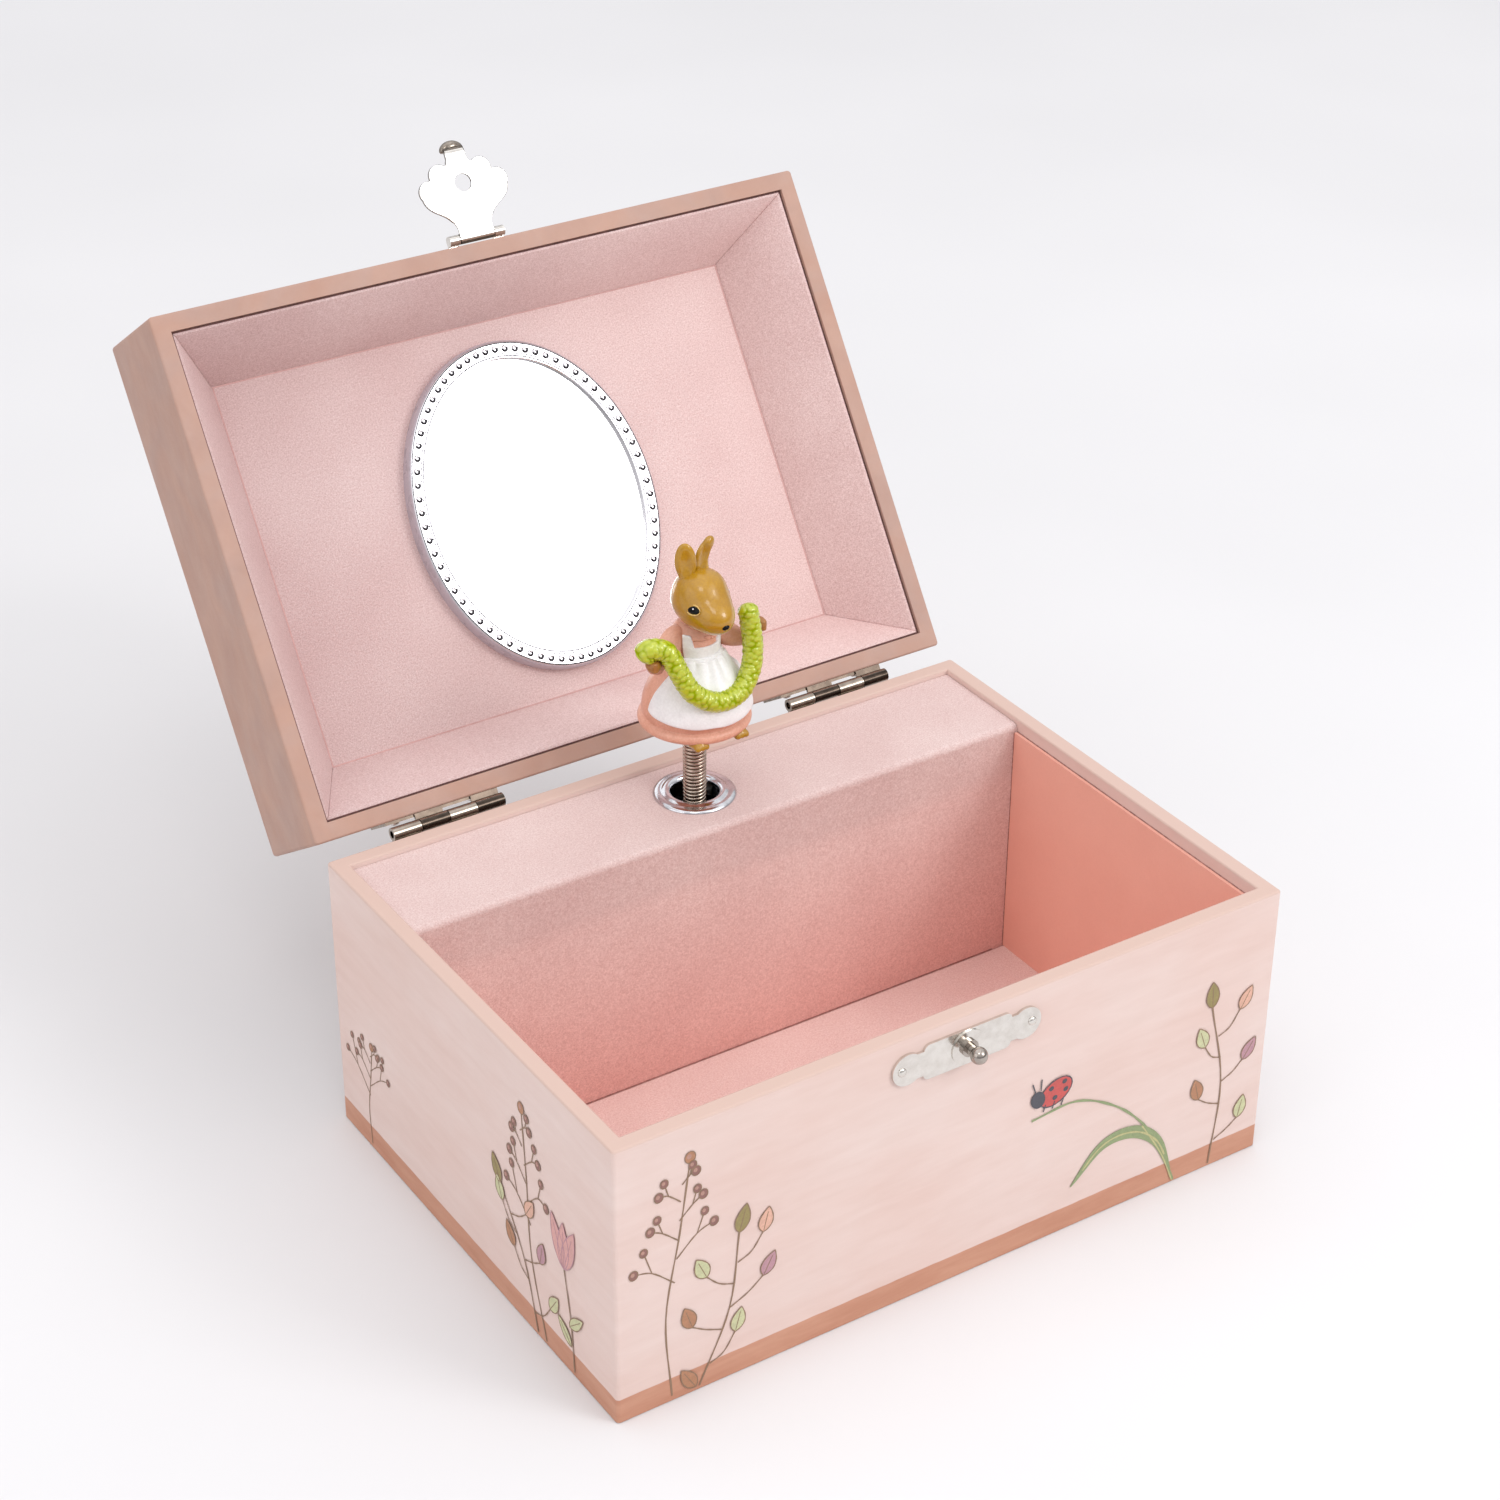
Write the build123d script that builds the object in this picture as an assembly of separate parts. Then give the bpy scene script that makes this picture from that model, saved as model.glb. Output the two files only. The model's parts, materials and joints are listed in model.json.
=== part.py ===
from build123d import *
import os
from math import cos, pi, radians, sin

# Musical jewellery box: a paper-covered board box whose lid stands open, with a small
# rabbit figure on a flexible spring neck that is turned by a musical movement.
# Frame: millimetres, X to the right along the front, Y to the back, Z up.
# The origin is the centre of the body's underside.
# The lid is drawn shut and then turned open about its hinge axis.

os.makedirs("parts", exist_ok=True)

# ---- driving dimensions ----
BOX_WIDTH = 155.0
BOX_DEPTH = 111.2
BODY_HEIGHT = 63.4
LID_HEIGHT = 26.3
WALL = 3.6
LID_WALL = 3.8
BOARD = 3.2              # bottom board and top board
RIM_GAP = 0.1            # between the two rims when the lid is shut
EDGE_ROUND = 0.8         # paper-wrapped upright corners
RIM_ROUND = 0.5
FIT = 0.1                # slack of a loose lining or pad

LID_OPEN_ANGLE = 124.0   # the hinges stop here
HINGE_OUT = 2.6          # hinge axis behind the back face
HINGE_DROP = 0.4         # hinge axis below the body's rim
HINGE_X = 48.5
HINGE_LENGTH = 26.0
HINGE_RADIUS = 1.4
HINGE_PIN_RADIUS = 0.8
HINGE_PIN_RECESS = 1.6   # the rolled ends are open this deep
HINGE_SHEET = 0.6
KNUCKLES = 4
KNUCKLE_GAP = 0.2
RUNNING_FIT = 0.06

PAD_THICKNESS = 1.6
COVER_TOP = 62.2         # flocked top of the music cover
COVER_FRONT = 26.0       # front face of the divider
COVER_SHEET = 1.5
COVER_FOLD = 1.4
SIDE_LINING = 0.9
SIDE_LINING_TOP = 60.4

SPINDLE_Y = 40.0         # the figure and the cylinder turn about this upright axis
EYELET_RADIUS = 8.8
EYELET_HOLE = 5.0
EYELET_TUBE = 5.8

LATCH_Z = 56.3
LATCH_SHEET = 0.6
LATCH_BOSS = 0.25
PIN_SHANK = 0.45         # small dome-headed pins
PIN_HEAD = (0.95, 0.55, 0.95)
STUD_BALL = 1.75
STUD_COLLAR = 1.85       # inside the hasp's hole
HASP_OUT = 2.0           # hasp pin in front of the lid's front face
HASP_UP = 4.4            # hasp pin above the body's rim
HASP_SWING = 86.0        # the hasp stands out this far from hanging
HASP_SHEET = 0.6
HASP_HOLE = 2.05
HASP_BARREL = 1.1
HASP_PIN_RADIUS = 0.45
HASP_KNUCKLE = 4.0       # half length of the hasp's own barrel
HASP_OUTER = 6.6         # half length over the plate's barrels
HASP_LIP_DROP = 17.8     # where the blade starts to curl
HASP_LIP_RADIUS = 1.2

LINING_DEPTH = 18.2      # flat lining above the rim when the lid is shut
LINING_SHEET = 1.2
LINING_RIM = (72.8, 50.9)
LINING_FLOOR = (62.1, 41.5)
MIRROR_RADII = (28.85, 36.5)
MIRROR_SIGHT = (25.2, 32.3)
MIRROR_DEPTH = 3.5

SPRING_BOTTOM = 57.5
SPRING_TOP = 83.0
SPRING_RADIUS = 2.5
SPRING_BORE = 1.7
SPRING_PITCH = 0.85
HEAD_Z = 108.9
SHOULDER_Z = 100.2
GARLAND_RADIUS = 1.7
APRON_SHEET = 0.7        # the apron stands this far proud of the dress
APRON_BIB = 3.2          # half width of the bib
FOOT_Z = 80.0
HEM = [(0, 81.4), (10.4, 81.4), (10.4, 80.6), (11.0, 80.4), (11.5, 81.0), (11.5, 82.0), (10.9, 82.6)]
SKIRT = [(10.9, 84.0), (10.2, 87.0), (8.7, 90.0), (6.7, 93.0), (5.1, 95.4), (4.6, 96.8)]
BODICE = [(4.7, 99.0), (4.5, 100.8)]
NECK = [(3.6, 102.2), (2.6, 103.2), (2.4, 106.0), (0, 106.0)]
GARLAND = [
    (-14.4, 36.2, 100.8), (-12.9, 34.6, 102.6), (-10.4, 33.4, 101.8), (-8.8, 31.8, 97.4),
    (-6.2, 30.4, 92.2), (-1.0, 29.6, 89.3), (4.6, 30.4, 89.6), (8.0, 31.6, 93.0),
    (9.3, 32.6, 97.4), (9.4, 33.6, 102.0), (9.2, 34.6, 105.2),
]

WHEEL_Z = 17.5           # winding axis
WHEEL_RADIUS = 12.0
WHEEL_TEETH = 40
PINION_TEETH = 12
ARBOR_RADIUS = 1.5
PLATE_FRONT = 50.0       # front face of the movement's bedplate
PLATE_SHEET = 1.2        # brackets screwed flat to it
FIXING_SCREWS = ((-11.5, 50.5), (22.5, 12.0), (-11.5, 30.0))
SCREW_SLOT = 0.6
CASE_RADIUS = 9.6        # mainspring case
CASE_FRONT = 37.2
CASE_SHEET = 0.8
COIL_TURNS = 5
COIL_STRIP = 0.4
TRAIN_MODULE = 0.4
DRUM_RADIUS = 6.5
DRUM_BOTTOM = 31.5
DRUM_TOP = 48.5
DRUM_MIDDLE = (DRUM_BOTTOM + DRUM_TOP) / 2
SPINDLE_RADIUS = 0.9     # below the drum
SPINDLE_TOP_RADIUS = 1.2
NOTE_PIN = 0.4           # how far a pin stands out of the drum
NOTES_PER_TRACK = 3
COMB_TEETH = 18
COMB_PITCH = 0.88
COMB_FACES = (38.9, 41.1)
COMB_SCREW_X = 22.5
COMB_SCREW_Z = (35.0, 45.5)
GOVERNOR_ARBOR = 0.6
GOVERNOR_CENTRES = 7.2   # from the wheel's axis to the fly's
GOVERNOR_LOW = 46.8
GOVERNOR_HIGH = 54.2

# ---- places worked out from them ----
HALF_X = BOX_WIDTH / 2
HALF_Y = BOX_DEPTH / 2
INNER_X = HALF_X - WALL
INNER_Y = HALF_Y - WALL
PAD_TOP = BOARD + PAD_THICKNESS
LID_BOTTOM = BODY_HEIGHT + RIM_GAP
LID_TOP = LID_BOTTOM + LID_HEIGHT
LINING_Z = BODY_HEIGHT + LINING_DEPTH
HINGE_Y = HALF_Y + HINGE_OUT
HINGE_Z = BODY_HEIGHT - HINGE_DROP
HASP_Y = -HALF_Y - HASP_OUT
HASP_Z = BODY_HEIGHT + HASP_UP
LID_AXIS = Axis((0, HINGE_Y, HINGE_Z), (1, 0, 0))
HASP_AXIS = Axis((0, HASP_Y, HASP_Z), (1, 0, 0))
SPINDLE = Pos(0, SPINDLE_Y, 0)
SIDES = {
    "front": ((-1, -1), (1, -1)),
    "right": ((1, -1), (1, 1)),
    "back": ((1, 1), (-1, 1)),
    "left": ((-1, 1), (-1, -1)),
}

pieces = {}


def save(name, shape):
    pieces[name] = shape


# ---- small helpers ----
def block(x_span, y_span, z_span):
    """Box between two limits on each axis."""
    spans = (x_span, y_span, z_span)
    size = [high - low for low, high in spans]
    middle = [(high + low) / 2 for low, high in spans]
    return Pos(*middle) * Box(*size)


def rod(start, end, radius, end_radius=None):
    """Round rod or cone from one point to another."""
    line = Vector(*end) - Vector(*start)
    place = Plane(origin=start, z_dir=line).location
    if end_radius is None:
        shape = Cylinder(radius, line.length, align=(Align.CENTER, Align.CENTER, Align.MIN))
    else:
        shape = Cone(radius, end_radius, line.length, align=(Align.CENTER, Align.CENTER, Align.MIN))
    return place * shape


def egg(centre, radii):
    """Ball stretched to three half-sizes."""
    return Pos(*centre) * scale(Sphere(1.0), by=radii)


def turned(points):
    """Solid turned about the upright axis through the spindle, from (radius, height) points."""
    profile = Plane.XZ * Polygon(*points)
    return SPINDLE * revolve(profile, Axis.Z)


def mitred_piece(side, outer, inner, bottom, top):
    """Prism whose plan is one mitred side of a rectangular ring."""
    start, end = SIDES[side]
    plan = [
        (start[0] * outer[0], start[1] * outer[1]),
        (end[0] * outer[0], end[1] * outer[1]),
        (end[0] * inner[0], end[1] * inner[1]),
        (start[0] * inner[0], start[1] * inner[1]),
    ]
    return Pos(0, 0, bottom) * extrude(Polygon(*plan), top - bottom)


def wrapped_box(bottom, top):
    """Outer shape of the body or the lid, with its paper-wrapped corners rounded."""
    solid = block((-HALF_X, HALF_X), (-HALF_Y, HALF_Y), (bottom, top))
    return fillet(solid.edges().filter_by(Axis.Z), EDGE_ROUND)


def open_lid(shape):
    return shape.rotate(LID_AXIS, -LID_OPEN_ANGLE)


def swing_hasp(shape):
    return open_lid(shape.rotate(HASP_AXIS, -HASP_SWING))


# ---- body ----
def dome_pins(places, outward, depth):
    """Dome-headed pins driven into a wall; each place is a point on the sheet's face."""
    pins = []
    for place in places:
        start = Vector(*place)
        tip = start - Vector(*outward) * depth
        shank = rod(tuple(start), tuple(tip), PIN_SHANK)
        head = Pos(*place) * scale(Sphere(1.0), by=PIN_HEAD)
        sheet_side = Plane(origin=place, z_dir=outward)
        pins.append(shank + split(head, bisect_by=sheet_side, keep=Keep.TOP))
    return pins


def latch_outline():
    """Latch plate's outline, with a stepped middle and two round ends."""
    outline = RectangleRounded(20.5, 8.0, 1.4) + Rectangle(27.0, 5.6)
    for side in (-1, 1):
        outline += Pos(side * 13.8, 0) * Circle(3.5)
    return outline


def front_plane(y):
    return Plane(origin=(0, y, 0), x_dir=(1, 0, 0), z_dir=(0, -1, 0))


def make_latch():
    face_y = -HALF_Y
    sheet = front_plane(face_y) * Pos(0, LATCH_Z) * latch_outline()
    plate = extrude(sheet, LATCH_SHEET)
    boss_face = front_plane(face_y - LATCH_SHEET) * Pos(0, LATCH_Z) * Circle(3.8)
    plate += extrude(boss_face, LATCH_BOSS)
    top_y = face_y - LATCH_SHEET - LATCH_BOSS
    shank = rod((0, face_y + 2.4, LATCH_Z), (0, top_y, LATCH_Z), 0.9)
    collar = rod((0, top_y, LATCH_Z), (0, top_y - 0.6, LATCH_Z), STUD_COLLAR)
    waist = rod((0, top_y - 0.5, LATCH_Z), (0, top_y - 2.6, LATCH_Z), 1.2)
    ball = Pos(0, top_y - 3.2, LATCH_Z) * Sphere(STUD_BALL)
    stud = shank + collar + waist + ball
    places = [(side * 15.2, face_y - LATCH_SHEET, LATCH_Z) for side in (-1, 1)]
    pins = dome_pins(places, (0, -1, 0), 3.0)
    for pin in pins:
        plate -= pin
    save("latch_plate", plate - stud)
    save("latch_stud", stud)
    return pins, stud


def knuckle_span(index):
    """Start and end of one knuckle along the hinge."""
    pitch = HINGE_LENGTH / KNUCKLES
    start = -HINGE_LENGTH / 2 + index * pitch
    return start + KNUCKLE_GAP / 2, start + pitch - KNUCKLE_GAP / 2


def hinge_leaf(centre_x, own, bore, up):
    """Leaf on the outer back face with its rolled knuckles; up is 1 on the lid, -1 on the body."""
    tab_low = HINGE_Z + up * (HINGE_RADIUS - 0.2)
    tab_high = tab_low + up * HINGE_SHEET
    far_edge = HINGE_Z + up * 10.0
    x_span = (centre_x - HINGE_LENGTH / 2, centre_x + HINGE_LENGTH / 2)
    z_span = tuple(sorted((tab_low + up * 0.4, far_edge)))
    leaf = block(x_span, (HALF_Y, HALF_Y + HINGE_SHEET), z_span)
    for index in own:
        start, end = knuckle_span(index)
        ends = (centre_x + start, centre_x + end)
        tab_z = tuple(sorted((tab_low, tab_high)))
        leaf += block(ends, (HALF_Y, HINGE_Y), tab_z)
        leaf += rod((ends[0], HINGE_Y, HINGE_Z), (ends[1], HINGE_Y, HINGE_Z), HINGE_RADIUS)
    reach = HINGE_LENGTH / 2 + 1
    ends = (centre_x - reach, centre_x + reach)
    return leaf - rod((ends[0], HINGE_Y, HINGE_Z), (ends[1], HINGE_Y, HINGE_Z), bore)


def leaf_pins(centre_x, up):
    places = [(centre_x + side * 9.0, HALF_Y + HINGE_SHEET, HINGE_Z + up * 6.2) for side in (-1, 1)]
    return dome_pins(places, (0, 1, 0), 3.4)


def hinge_pin(centre_x):
    half = HINGE_LENGTH / 2 - HINGE_PIN_RECESS
    ends = [(centre_x + side * half, HINGE_Y, HINGE_Z) for side in (-1, 1)]
    return rod(ends[0], ends[1], HINGE_PIN_RADIUS)


def make_hinges():
    """Both hinges: a body leaf, a lid leaf and a pin each."""
    body_pins, lid_pins, shafts = [], [], []
    for name, centre_x in (("left", -HINGE_X), ("right", HINGE_X)):
        body_leaf = hinge_leaf(centre_x, (0, 2), HINGE_PIN_RADIUS, -1)
        lid_leaf = hinge_leaf(centre_x, (1, 3), HINGE_PIN_RADIUS + RUNNING_FIT, 1)
        for pin in leaf_pins(centre_x, -1):
            body_leaf -= pin
            body_pins.append(pin)
        for pin in leaf_pins(centre_x, 1):
            lid_leaf -= pin
            lid_pins.append(pin)
        save(f"hinge_body_leaf_{name}", body_leaf)
        save(f"hinge_lid_leaf_{name}", open_lid(lid_leaf))
        shafts.append(hinge_pin(centre_x))
    save("hinge_shafts", Compound(children=shafts))
    return body_pins, lid_pins


def make_walls(cutters):
    """Four mitred walls and the bottom board between them."""
    shell = wrapped_box(0, BODY_HEIGHT)
    shell -= block((-INNER_X, INNER_X), (-INNER_Y, INNER_Y), (-1, BODY_HEIGHT + 1))
    shell = fillet(shell.faces().sort_by(Axis.Z)[-1].edges(), RIM_ROUND)
    for side in SIDES:
        wall = shell & mitred_piece(side, (HALF_X, HALF_Y), (INNER_X, INNER_Y), 0, BODY_HEIGHT)
        for cutter in cutters.get(side, []):
            wall -= cutter
        save(f"wall_{side}", wall)
    save("bottom_board", block((-INNER_X, INNER_X), (-INNER_Y, INNER_Y), (0, BOARD)))


def make_linings():
    """Flocked floor pad, and smooth side linings that stop short of the rim."""
    front = -INNER_Y
    back = COVER_FRONT - FIT
    save("floor_pad", block((-INNER_X + FIT, INNER_X - FIT), (front + FIT, back), (BOARD, PAD_TOP)))
    height = (PAD_TOP, SIDE_LINING_TOP)
    inner = INNER_X - SIDE_LINING
    save("side_lining_left", block((-INNER_X, -inner), (front, back), height))
    save("side_lining_right", block((inner, INNER_X), (front, back), height))
    save("front_lining", block((-inner + FIT, inner - FIT), (front, front + SIDE_LINING), height))


def make_music_cover():
    """One folded board: the divider and the top over the movement."""
    width = (-INNER_X + FIT, INNER_X - FIT)
    outer = block(width, (COVER_FRONT, INNER_Y - FIT), (BOARD, COVER_TOP))
    fold = outer.edges().filter_by(Axis.X).sort_by(lambda edge: edge.center().Z - edge.center().Y)[-1]
    outer = fillet(fold, COVER_FOLD)
    inner = block((-HALF_X, HALF_X), (COVER_FRONT + COVER_SHEET, HALF_Y), (0, COVER_TOP - COVER_SHEET))
    hole = SPINDLE * Cylinder(EYELET_TUBE, 400)
    save("music_cover", outer - inner - hole)


def make_eyelet():
    """Rolled metal eyelet: a domed flange on the cover and a clinched tube below it."""
    under = COVER_TOP - COVER_SHEET
    flange = [
        (EYELET_HOLE, under - 1.6),
        (EYELET_HOLE, COVER_TOP + 0.4),
        (EYELET_HOLE + 0.35, COVER_TOP + 0.9),
        (EYELET_HOLE + 1.0, COVER_TOP + 1.1),
        (EYELET_HOLE + 1.7, COVER_TOP + 0.95),
        (EYELET_RADIUS - 1.2, COVER_TOP + 0.75),
        (EYELET_RADIUS - 0.5, COVER_TOP + 0.7),
        (EYELET_RADIUS, COVER_TOP + 0.3),
        (EYELET_RADIUS, COVER_TOP),
        (EYELET_TUBE, COVER_TOP),
        (EYELET_TUBE, under),
        (EYELET_TUBE + 1.3, under),
        (EYELET_TUBE + 1.3, under - 0.6),
        (EYELET_TUBE - 0.2, under - 1.6),
    ]
    save("eyelet", turned(flange))


# ---- lid, drawn shut ----
def make_lid(lid_pins, front_cutters):
    envelope = wrapped_box(LID_BOTTOM, LID_TOP)
    edges = envelope.faces().sort_by(Axis.Z)[-1].edges() + envelope.faces().sort_by(Axis.Z)[0].edges()
    envelope = fillet(edges, RIM_ROUND)
    seam = LID_TOP - BOARD
    inner = (HALF_X - LID_WALL, HALF_Y - LID_WALL)
    for side in SIDES:
        rail = envelope & mitred_piece(side, (HALF_X, HALF_Y), inner, LID_BOTTOM, seam)
        for cutter in {"back": lid_pins, "front": front_cutters}.get(side, []):
            rail -= cutter
        save(f"lid_rail_{side}", open_lid(rail))
    top = envelope & block((-HALF_X, HALF_X), (-HALF_Y, HALF_Y), (seam, LID_TOP))
    save("lid_top_board", open_lid(top))


def tapered_block(rim, floor, rim_z, floor_z, spread):
    """Frustum between the lining's rim rectangle and its floor rectangle."""
    low = Pos(0, 0, rim_z) * Rectangle(2 * (rim[0] + spread), 2 * (rim[1] + spread))
    high = Pos(0, 0, floor_z) * Rectangle(2 * (floor[0] + spread), 2 * (floor[1] + spread))
    return loft([low, high])


def corner_line(fraction):
    """Point on the plan line through the lining's rim corner and floor corner."""
    return tuple(rim + (floor - rim) * fraction for rim, floor in zip(LINING_RIM, LINING_FLOOR))


def make_lid_lining():
    rim_z = LID_BOTTOM + 0.8
    shell = tapered_block(LINING_RIM, LINING_FLOOR, rim_z, LINING_Z, LINING_SHEET)
    shell -= tapered_block(LINING_RIM, LINING_FLOOR, rim_z, LINING_Z, 0)
    clear_x = HALF_X - LID_WALL - FIT
    clear_y = HALF_Y - LID_WALL - FIT
    shell &= block((-clear_x, clear_x), (-clear_y, clear_y), (rim_z, LINING_Z))
    for side in SIDES:
        panel = shell & mitred_piece(side, corner_line(-0.3), corner_line(1.2), rim_z, LINING_Z)
        save(f"lid_lining_{side}", open_lid(panel))
    width, depth = (size + LINING_SHEET for size in LINING_FLOOR)
    flat = block((-width, width), (-depth, depth), (LINING_Z, LINING_Z + LINING_SHEET))
    save("lid_lining_flat", open_lid(flat))


def oval(radii, bottom, top):
    return Pos(0, 0, bottom) * extrude(Ellipse(*radii), top - bottom)


def make_mirror():
    """Moulded oval frame, glass and card back on the flat lining."""
    face = LINING_Z - MIRROR_DEPTH
    frame = oval(MIRROR_RADII, face, LINING_Z)
    frame = fillet(frame.faces().sort_by(Axis.Z)[0].edges(), 0.8)
    rebate = tuple(radius + 0.8 for radius in MIRROR_SIGHT)
    glass = tuple(radius + 0.6 for radius in MIRROR_SIGHT)
    frame -= oval(MIRROR_SIGHT, face - 1, LINING_Z)
    frame -= oval(rebate, face + 1.0, LINING_Z)
    save("mirror_frame", open_lid(frame))
    save("mirror_glass", open_lid(oval(glass, face + 1.0, face + 2.2)))
    save("mirror_back_card", open_lid(oval(glass, face + 2.2, LINING_Z)))


def hasp_outline():
    """Shell-shaped plate, drawn upwards from its hinge pin."""
    right = [(4.1, 0.4), (4.3, 3.2), (6.0, 5.2), (8.6, 7.0), (10.0, 9.4)]
    side = Spline(*right)
    top = Polyline(right[-1], (8.4, 12.4), (4.9, 15.0), (0, 16.5))
    base = Line((0, 0.4), right[0])
    half = make_face(side + top + base + Line((0, 16.5), (0, 0.4)))
    outline = half + mirror(half, Plane.YZ)
    for x, y, radius in ((8.1, 10.8, 2.3), (4.9, 13.8, 2.3)):
        for direction in (-1, 1):
            outline += Pos(direction * x, y) * Circle(radius)
    return outline + Pos(0, 15.4) * Circle(2.6)


def make_hasp():
    """Hasp plate on the lid's front rail, hasp and pin; drawn shut and hanging."""
    face_y = -HALF_Y
    barrel = [(x, HASP_Y, HASP_Z) for x in (-HASP_KNUCKLE, HASP_KNUCKLE)]
    drop = front_plane(0) * Rot(0, 0, 180) * hasp_outline()
    sheet_y = HASP_Y + HASP_BARREL - HASP_SHEET
    blade = Pos(0, sheet_y + HASP_SHEET, HASP_Z) * extrude(drop, HASP_SHEET)
    blade += rod(barrel[0], barrel[1], HASP_BARREL)
    lip_z = HASP_Z - HASP_LIP_DROP
    lip_axis = Axis((0, sheet_y - HASP_LIP_RADIUS, lip_z), (1, 0, 0))
    strip = Pos(0, sheet_y + HASP_SHEET / 2, lip_z) * Rectangle(4.4, HASP_SHEET)
    lip = revolve(strip, lip_axis, -100)
    blade += block((-2.2, 2.2), (sheet_y, sheet_y + HASP_SHEET), (lip_z, lip_z + 1.0)) + lip
    blade -= rod((0, 0, LATCH_Z), (0, -HALF_Y * 2, LATCH_Z), HASP_HOLE)
    blade -= rod((-9, HASP_Y, HASP_Z), (9, HASP_Y, HASP_Z), HASP_PIN_RADIUS + RUNNING_FIT)
    save("hasp", swing_hasp(blade))

    plate_face = Pos(0, HASP_Z + 5.2) * (RectangleRounded(15.6, 8.0, 1.4) + Pos(0, 2.4) * Circle(3.6))
    plate = extrude(front_plane(face_y) * plate_face, HASP_SHEET)
    for side in (-1, 1):
        ends = tuple(sorted((side * (HASP_KNUCKLE + KNUCKLE_GAP), side * HASP_OUTER)))
        plate += block(ends, (HASP_Y, face_y), (HASP_Z + HASP_BARREL - 0.5, HASP_Z + HASP_BARREL))
        plate += block(ends, (face_y - HASP_SHEET, face_y), (HASP_Z + 0.5, HASP_Z + 2.0))
        plate += rod((ends[0], HASP_Y, HASP_Z), (ends[1], HASP_Y, HASP_Z), HASP_BARREL)
    plate -= rod((-9, HASP_Y, HASP_Z), (9, HASP_Y, HASP_Z), HASP_PIN_RADIUS)
    pins = dome_pins([(side * 5.2, face_y - HASP_SHEET, HASP_Z + 5.6) for side in (-1, 1)], (0, -1, 0), 3.0)
    for pin in pins:
        plate -= pin
    shaft = rod((-HASP_OUTER, HASP_Y, HASP_Z), (HASP_OUTER, HASP_Y, HASP_Z), HASP_PIN_RADIUS)
    save("hasp_plate", open_lid(plate))
    save("hasp_shaft", open_lid(shaft))
    return pins


# ---- figure ----
def make_spring():
    """Close-wound spring, drawn as a sleeve with one ridge for each turn."""
    turns = int((SPRING_TOP - SPRING_BOTTOM) / SPRING_PITCH)
    pitch = (SPRING_TOP - SPRING_BOTTOM) / turns
    points = [(SPRING_BORE, SPRING_TOP), (SPRING_BORE, SPRING_BOTTOM)]
    for turn in range(turns):
        low = SPRING_BOTTOM + turn * pitch
        points += [(SPRING_RADIUS - 0.2, low), (SPRING_RADIUS, low + 0.35 * pitch)]
        points += [(SPRING_RADIUS, low + 0.65 * pitch)]
    points.append((SPRING_RADIUS - 0.2, SPRING_TOP))
    save("spring_neck", turned(points))


def sleeve(side):
    """Sleeve from the shoulder over the elbow to the cuff."""
    shoulder = (side * 3.6, SPINDLE_Y + 0.3, SHOULDER_Z)
    elbow = (side * 8.0, SPINDLE_Y - 0.6, SHOULDER_Z - 2.6)
    cuff = (side * 11.4, SPINDLE_Y - 4.0, SHOULDER_Z - 1.6)
    arm = rod(shoulder, elbow, 2.4, 2.1) + Pos(*elbow) * Sphere(2.1) + Pos(*shoulder) * Sphere(2.4)
    return arm + rod(elbow, cuff, 2.1, 1.9)


def figure_head():
    skull = Pos(0, SPINDLE_Y - 2.8, HEAD_Z) * Sphere(5.9)
    tip = (0, SPINDLE_Y - 10.0, HEAD_Z - 1.7)
    muzzle = rod((0, SPINDLE_Y - 4.6, HEAD_Z - 0.5), tip, 5.0, 2.4)
    return skull + muzzle + Pos(0, SPINDLE_Y - 9.9, HEAD_Z - 1.6) * Sphere(2.5)


def figure_ears(head):
    ears = []
    for side in (-1, 1):
        place = Pos(side * 2.4, SPINDLE_Y - 1.6, HEAD_Z + 8.3) * Rot(0, side * 6, 0)
        ears.append(place * egg((0, 0, 0), (1.9, 1.1, 4.9)) - head)
    return Compound(children=ears)


def figure_apron():
    """Layer over the front of the skirt, with a narrower bib over the bodice."""
    line = SKIRT + BODICE
    outside = [(radius + APRON_SHEET, z) for radius, z in line]
    layer = turned(outside + line[::-1])
    front = SPINDLE_Y - 20
    skirt_part = block((-20, 20), (front, SPINDLE_Y - 1.2), (FOOT_Z, SKIRT[-1][1]))
    bib_part = block((-APRON_BIB, APRON_BIB), (front, SPINDLE_Y - 2), (90, BODICE[-1][1] - 0.2))
    return (layer & (skirt_part + bib_part)) - sleeve(-1) - sleeve(1)


def figure_garland():
    """Garland held across the skirt, round at both ends."""
    line = Spline(*GARLAND)
    garland = sweep(Plane(origin=line @ 0, z_dir=line % 0) * Circle(GARLAND_RADIUS), path=line)
    for end in (GARLAND[0], GARLAND[-1]):
        garland += Pos(*end) * Sphere(GARLAND_RADIUS)
    return garland


def make_figure():
    """Rabbit figure: one resin casting, divided by its painted colours."""
    head = figure_head()
    peg = SPINDLE * Pos(0, 0, SPRING_TOP) * Cylinder(SPRING_BORE - RUNNING_FIT, 5.0)
    socket = SPINDLE * Pos(0, 0, SPRING_TOP / 2) * Cylinder(SPRING_RADIUS + RUNNING_FIT, SPRING_TOP)
    dress = turned(HEM + SKIRT + BODICE + NECK) + sleeve(-1) + sleeve(1)
    dress = dress - head - socket - peg
    apron = figure_apron()
    garland = figure_garland() - dress - apron

    paws = []
    for centre in ((-13.0, 34.9, 99.4), (12.4, 35.2, 99.6)):
        paws.append(egg(centre, (1.7, 1.8, 1.6)) - dress - garland - apron)
    feet = []
    for side in (-1, 1):
        feet.append(egg((side * 4.8, SPINDLE_Y - 9.6, FOOT_Z), (1.9, 3.4, 2.1)) - dress - apron)
    save("figure_head", head)
    save("figure_ears", figure_ears(head))
    save("figure_dress", dress)
    save("figure_apron", apron)
    save("figure_garland", garland)
    save("figure_paws", Compound(children=paws))
    save("figure_feet", Compound(children=feet))
    save("figure_peg", peg)


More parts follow.
